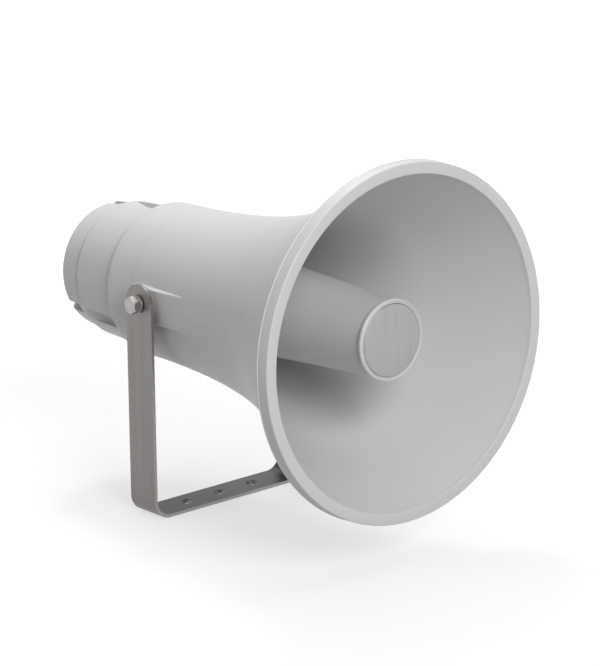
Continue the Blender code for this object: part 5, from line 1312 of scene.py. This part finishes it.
def spring_washer(name, side):
    """A split ring of square wire, cut through at the top."""
    front, rear, outer = side_span(f"spring_washer_{name}")
    edge = WASHER_EDGE
    profile = [(BOLT_HOLE, front + edge), (BOLT_HOLE + edge, front), (outer - edge, front),
               (outer, front + edge), (outer, rear - edge), (outer - edge, rear),
               (BOLT_HOLE + edge, rear), (BOLT_HOLE, rear - edge)]
    shape = turned_out(lathe(profile, SMALL_STEPS, True), side)
    made = mesh_object(f"split_washer_{name}", shape, PIVOT)
    slit = bmesh.new()
    prism(slit, [(0, -WASHER_SLIT, BOLT_RADIUS / 2), (0, 0, BOLT_RADIUS / 2),
                 (0, WASHER_SLIT, outer + OVERCUT), (0, 0, outer + OVERCUT)],
          (side * (rear + OVERCUT), 0, 0))
    combine(made, slit, "DIFFERENCE")
    return finish_piece(made, "bolt_steel", "horn", f"spring_washer_{name}")


def friction_washer(name, side):
    """The plain nylon washer between pad and arm, with rounded edges."""
    front, rear, outer = side_span(f"friction_washer_{name}")
    swell = (rear - front) / 2
    profile = [(BOLT_HOLE, front)] + arc((outer - swell, front + swell), (swell, swell), -90, 90, 6)
    profile += [(BOLT_HOLE, rear)]
    shape = turned_out(lathe(profile, SMALL_STEPS, True), side)
    made = mesh_object(f"nylon_washer_{name}", shape, PIVOT)
    return finish_piece(made, "nylon", "horn", f"friction_washer_{name}")


for side_name, side_sign in (("left", -1), ("right", 1)):
    pivot_bolt(side_name, side_sign)
    spring_washer(side_name, side_sign)
    friction_washer(side_name, side_sign)

# %% [markdown]
# ## Pieces that keep their CAD shape
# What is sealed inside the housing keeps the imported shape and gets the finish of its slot, so that a
# cut-open speaker would show every piece in its own material.

# %% Finishes of the CAD pieces
SLOTS = {entry["node"]: entry["material_slot"] for entry in frame["record"]["subparts"]}
for node_name, node in frame["nodes"].items():
    for place in node.material_slots:
        place.material = MATERIALS[SLOTS[node_name]]
print("CAD pieces with a finish:", len(frame["nodes"]))

# %% [markdown]
# ## Studio
# The photograph is a cut-out on white. A very large soft light hangs over the speaker and makes its
# sides fall off downwards, and a small one beside it draws the gleam on the bell's back. Another one
# stands before the mouth, a little to the left and high, and a weak one far to the left. The even
# world fills the shadows weakly. The floor is a grey matt sheet. To the camera, and in metal and
# glass, floor and world are lifted to white; under the speaker the lift leaves room for its shadow.

# %% Floor
FLOOR_SIZE = 8
FLOOR_DROP = 0.0003
FLOOR_GREY = (0.40, 0.40, 0.40)
WHITE = (1, 1, 1, 1)
FLOOR_LIFT = 0.62
SHADOW_REACH = 0.45


def seen_directly(nodes):
    """1 for rays from the camera, and for sharp reflections and refractions."""
    kinds = ("Is Camera Ray", "Is Glossy Ray", "Is Transmission Ray")
    camera, glossy, clear = [nodes.node("LightPath", output=kind) for kind in kinds]
    return camera + glossy + clear


def floor():
    """A matt sheet under the bracket that shows as white with the speaker's shadow."""
    bm = bmesh.new()
    bmesh.ops.create_grid(bm, x_segments=1, y_segments=1, size=FLOOR_SIZE / 2)
    made = mesh_object("floor", bm, Vector((0, 0, -FLOOR_DROP)))
    finish = Finish("floor_sheet", FLOOR_GREY, roughness=0.9)
    none, near, far = [finish.node("Emission", {"Color": WHITE, "Strength": strength})
                       for strength in (0.0, FLOOR_LIFT, 1.0)]
    distance = finish.node("VectorMath", {0: finish.place()}, output="Value", operation="LENGTH")
    outwards = finish.node("MapRange", {"Value": distance, "From Min": SHADOW_REACH,
                                        "From Max": SHADOW_REACH * 3})
    glow = finish.node("MixShader", {0: outwards, 1: near, 2: far})
    lifted = finish.node("MixShader", {0: seen_directly(finish), 1: none, 2: glow})
    paper = Wire(finish, finish.shader.outputs[0])
    both = finish.node("AddShader", {0: paper, 1: lifted})
    finish.join(finish.tree.nodes["Material Output"].inputs["Surface"], both)
    made.data.materials.append(finish.material)


floor()

# %% World
FILL_LIGHT = 0.05


def world():
    """A weak even light all round, which the camera, metal and glass see as white."""
    sky = bpy.data.worlds.new("studio")
    sky.use_nodes = True
    bpy.context.scene.world = sky
    nodes = Nodes(sky.node_tree)
    shown = nodes.tree.nodes["Background"]
    lift = nodes.node("MapRange", {"Value": seen_directly(nodes), "To Min": FILL_LIGHT})
    nodes.join(shown.inputs["Color"], WHITE)
    nodes.join(shown.inputs["Strength"], lift)


world()

# %% Lamps
LAMPS = (
    ("overhead", (0.35, 0.30, 2.1), 2.4, 26),
    ("small", (0.60, 0.80, 1.9), 0.45, 10),
    ("front", (-0.75, -2.55, 1.55), 1.4, 62),
    ("left", (-2.2, 0.60, 1.6), 1.0, 7),
)
LOOK_AT = Vector((0, 0, 0.17))


def lamp(name, place, size, power):
    """A square soft light that faces the speaker."""
    light = bpy.data.lights.new(name, "AREA")
    light.size = size
    light.energy = power
    made = bpy.data.objects.new(name, light)
    made.location = place
    made.rotation_euler = (LOOK_AT - Vector(place)).to_track_quat("-Z", "Y").to_euler()
    bpy.context.scene.collection.objects.link(made)


for values in LAMPS:
    lamp(*values)
bpy.context.scene.view_settings.view_transform = "Standard"
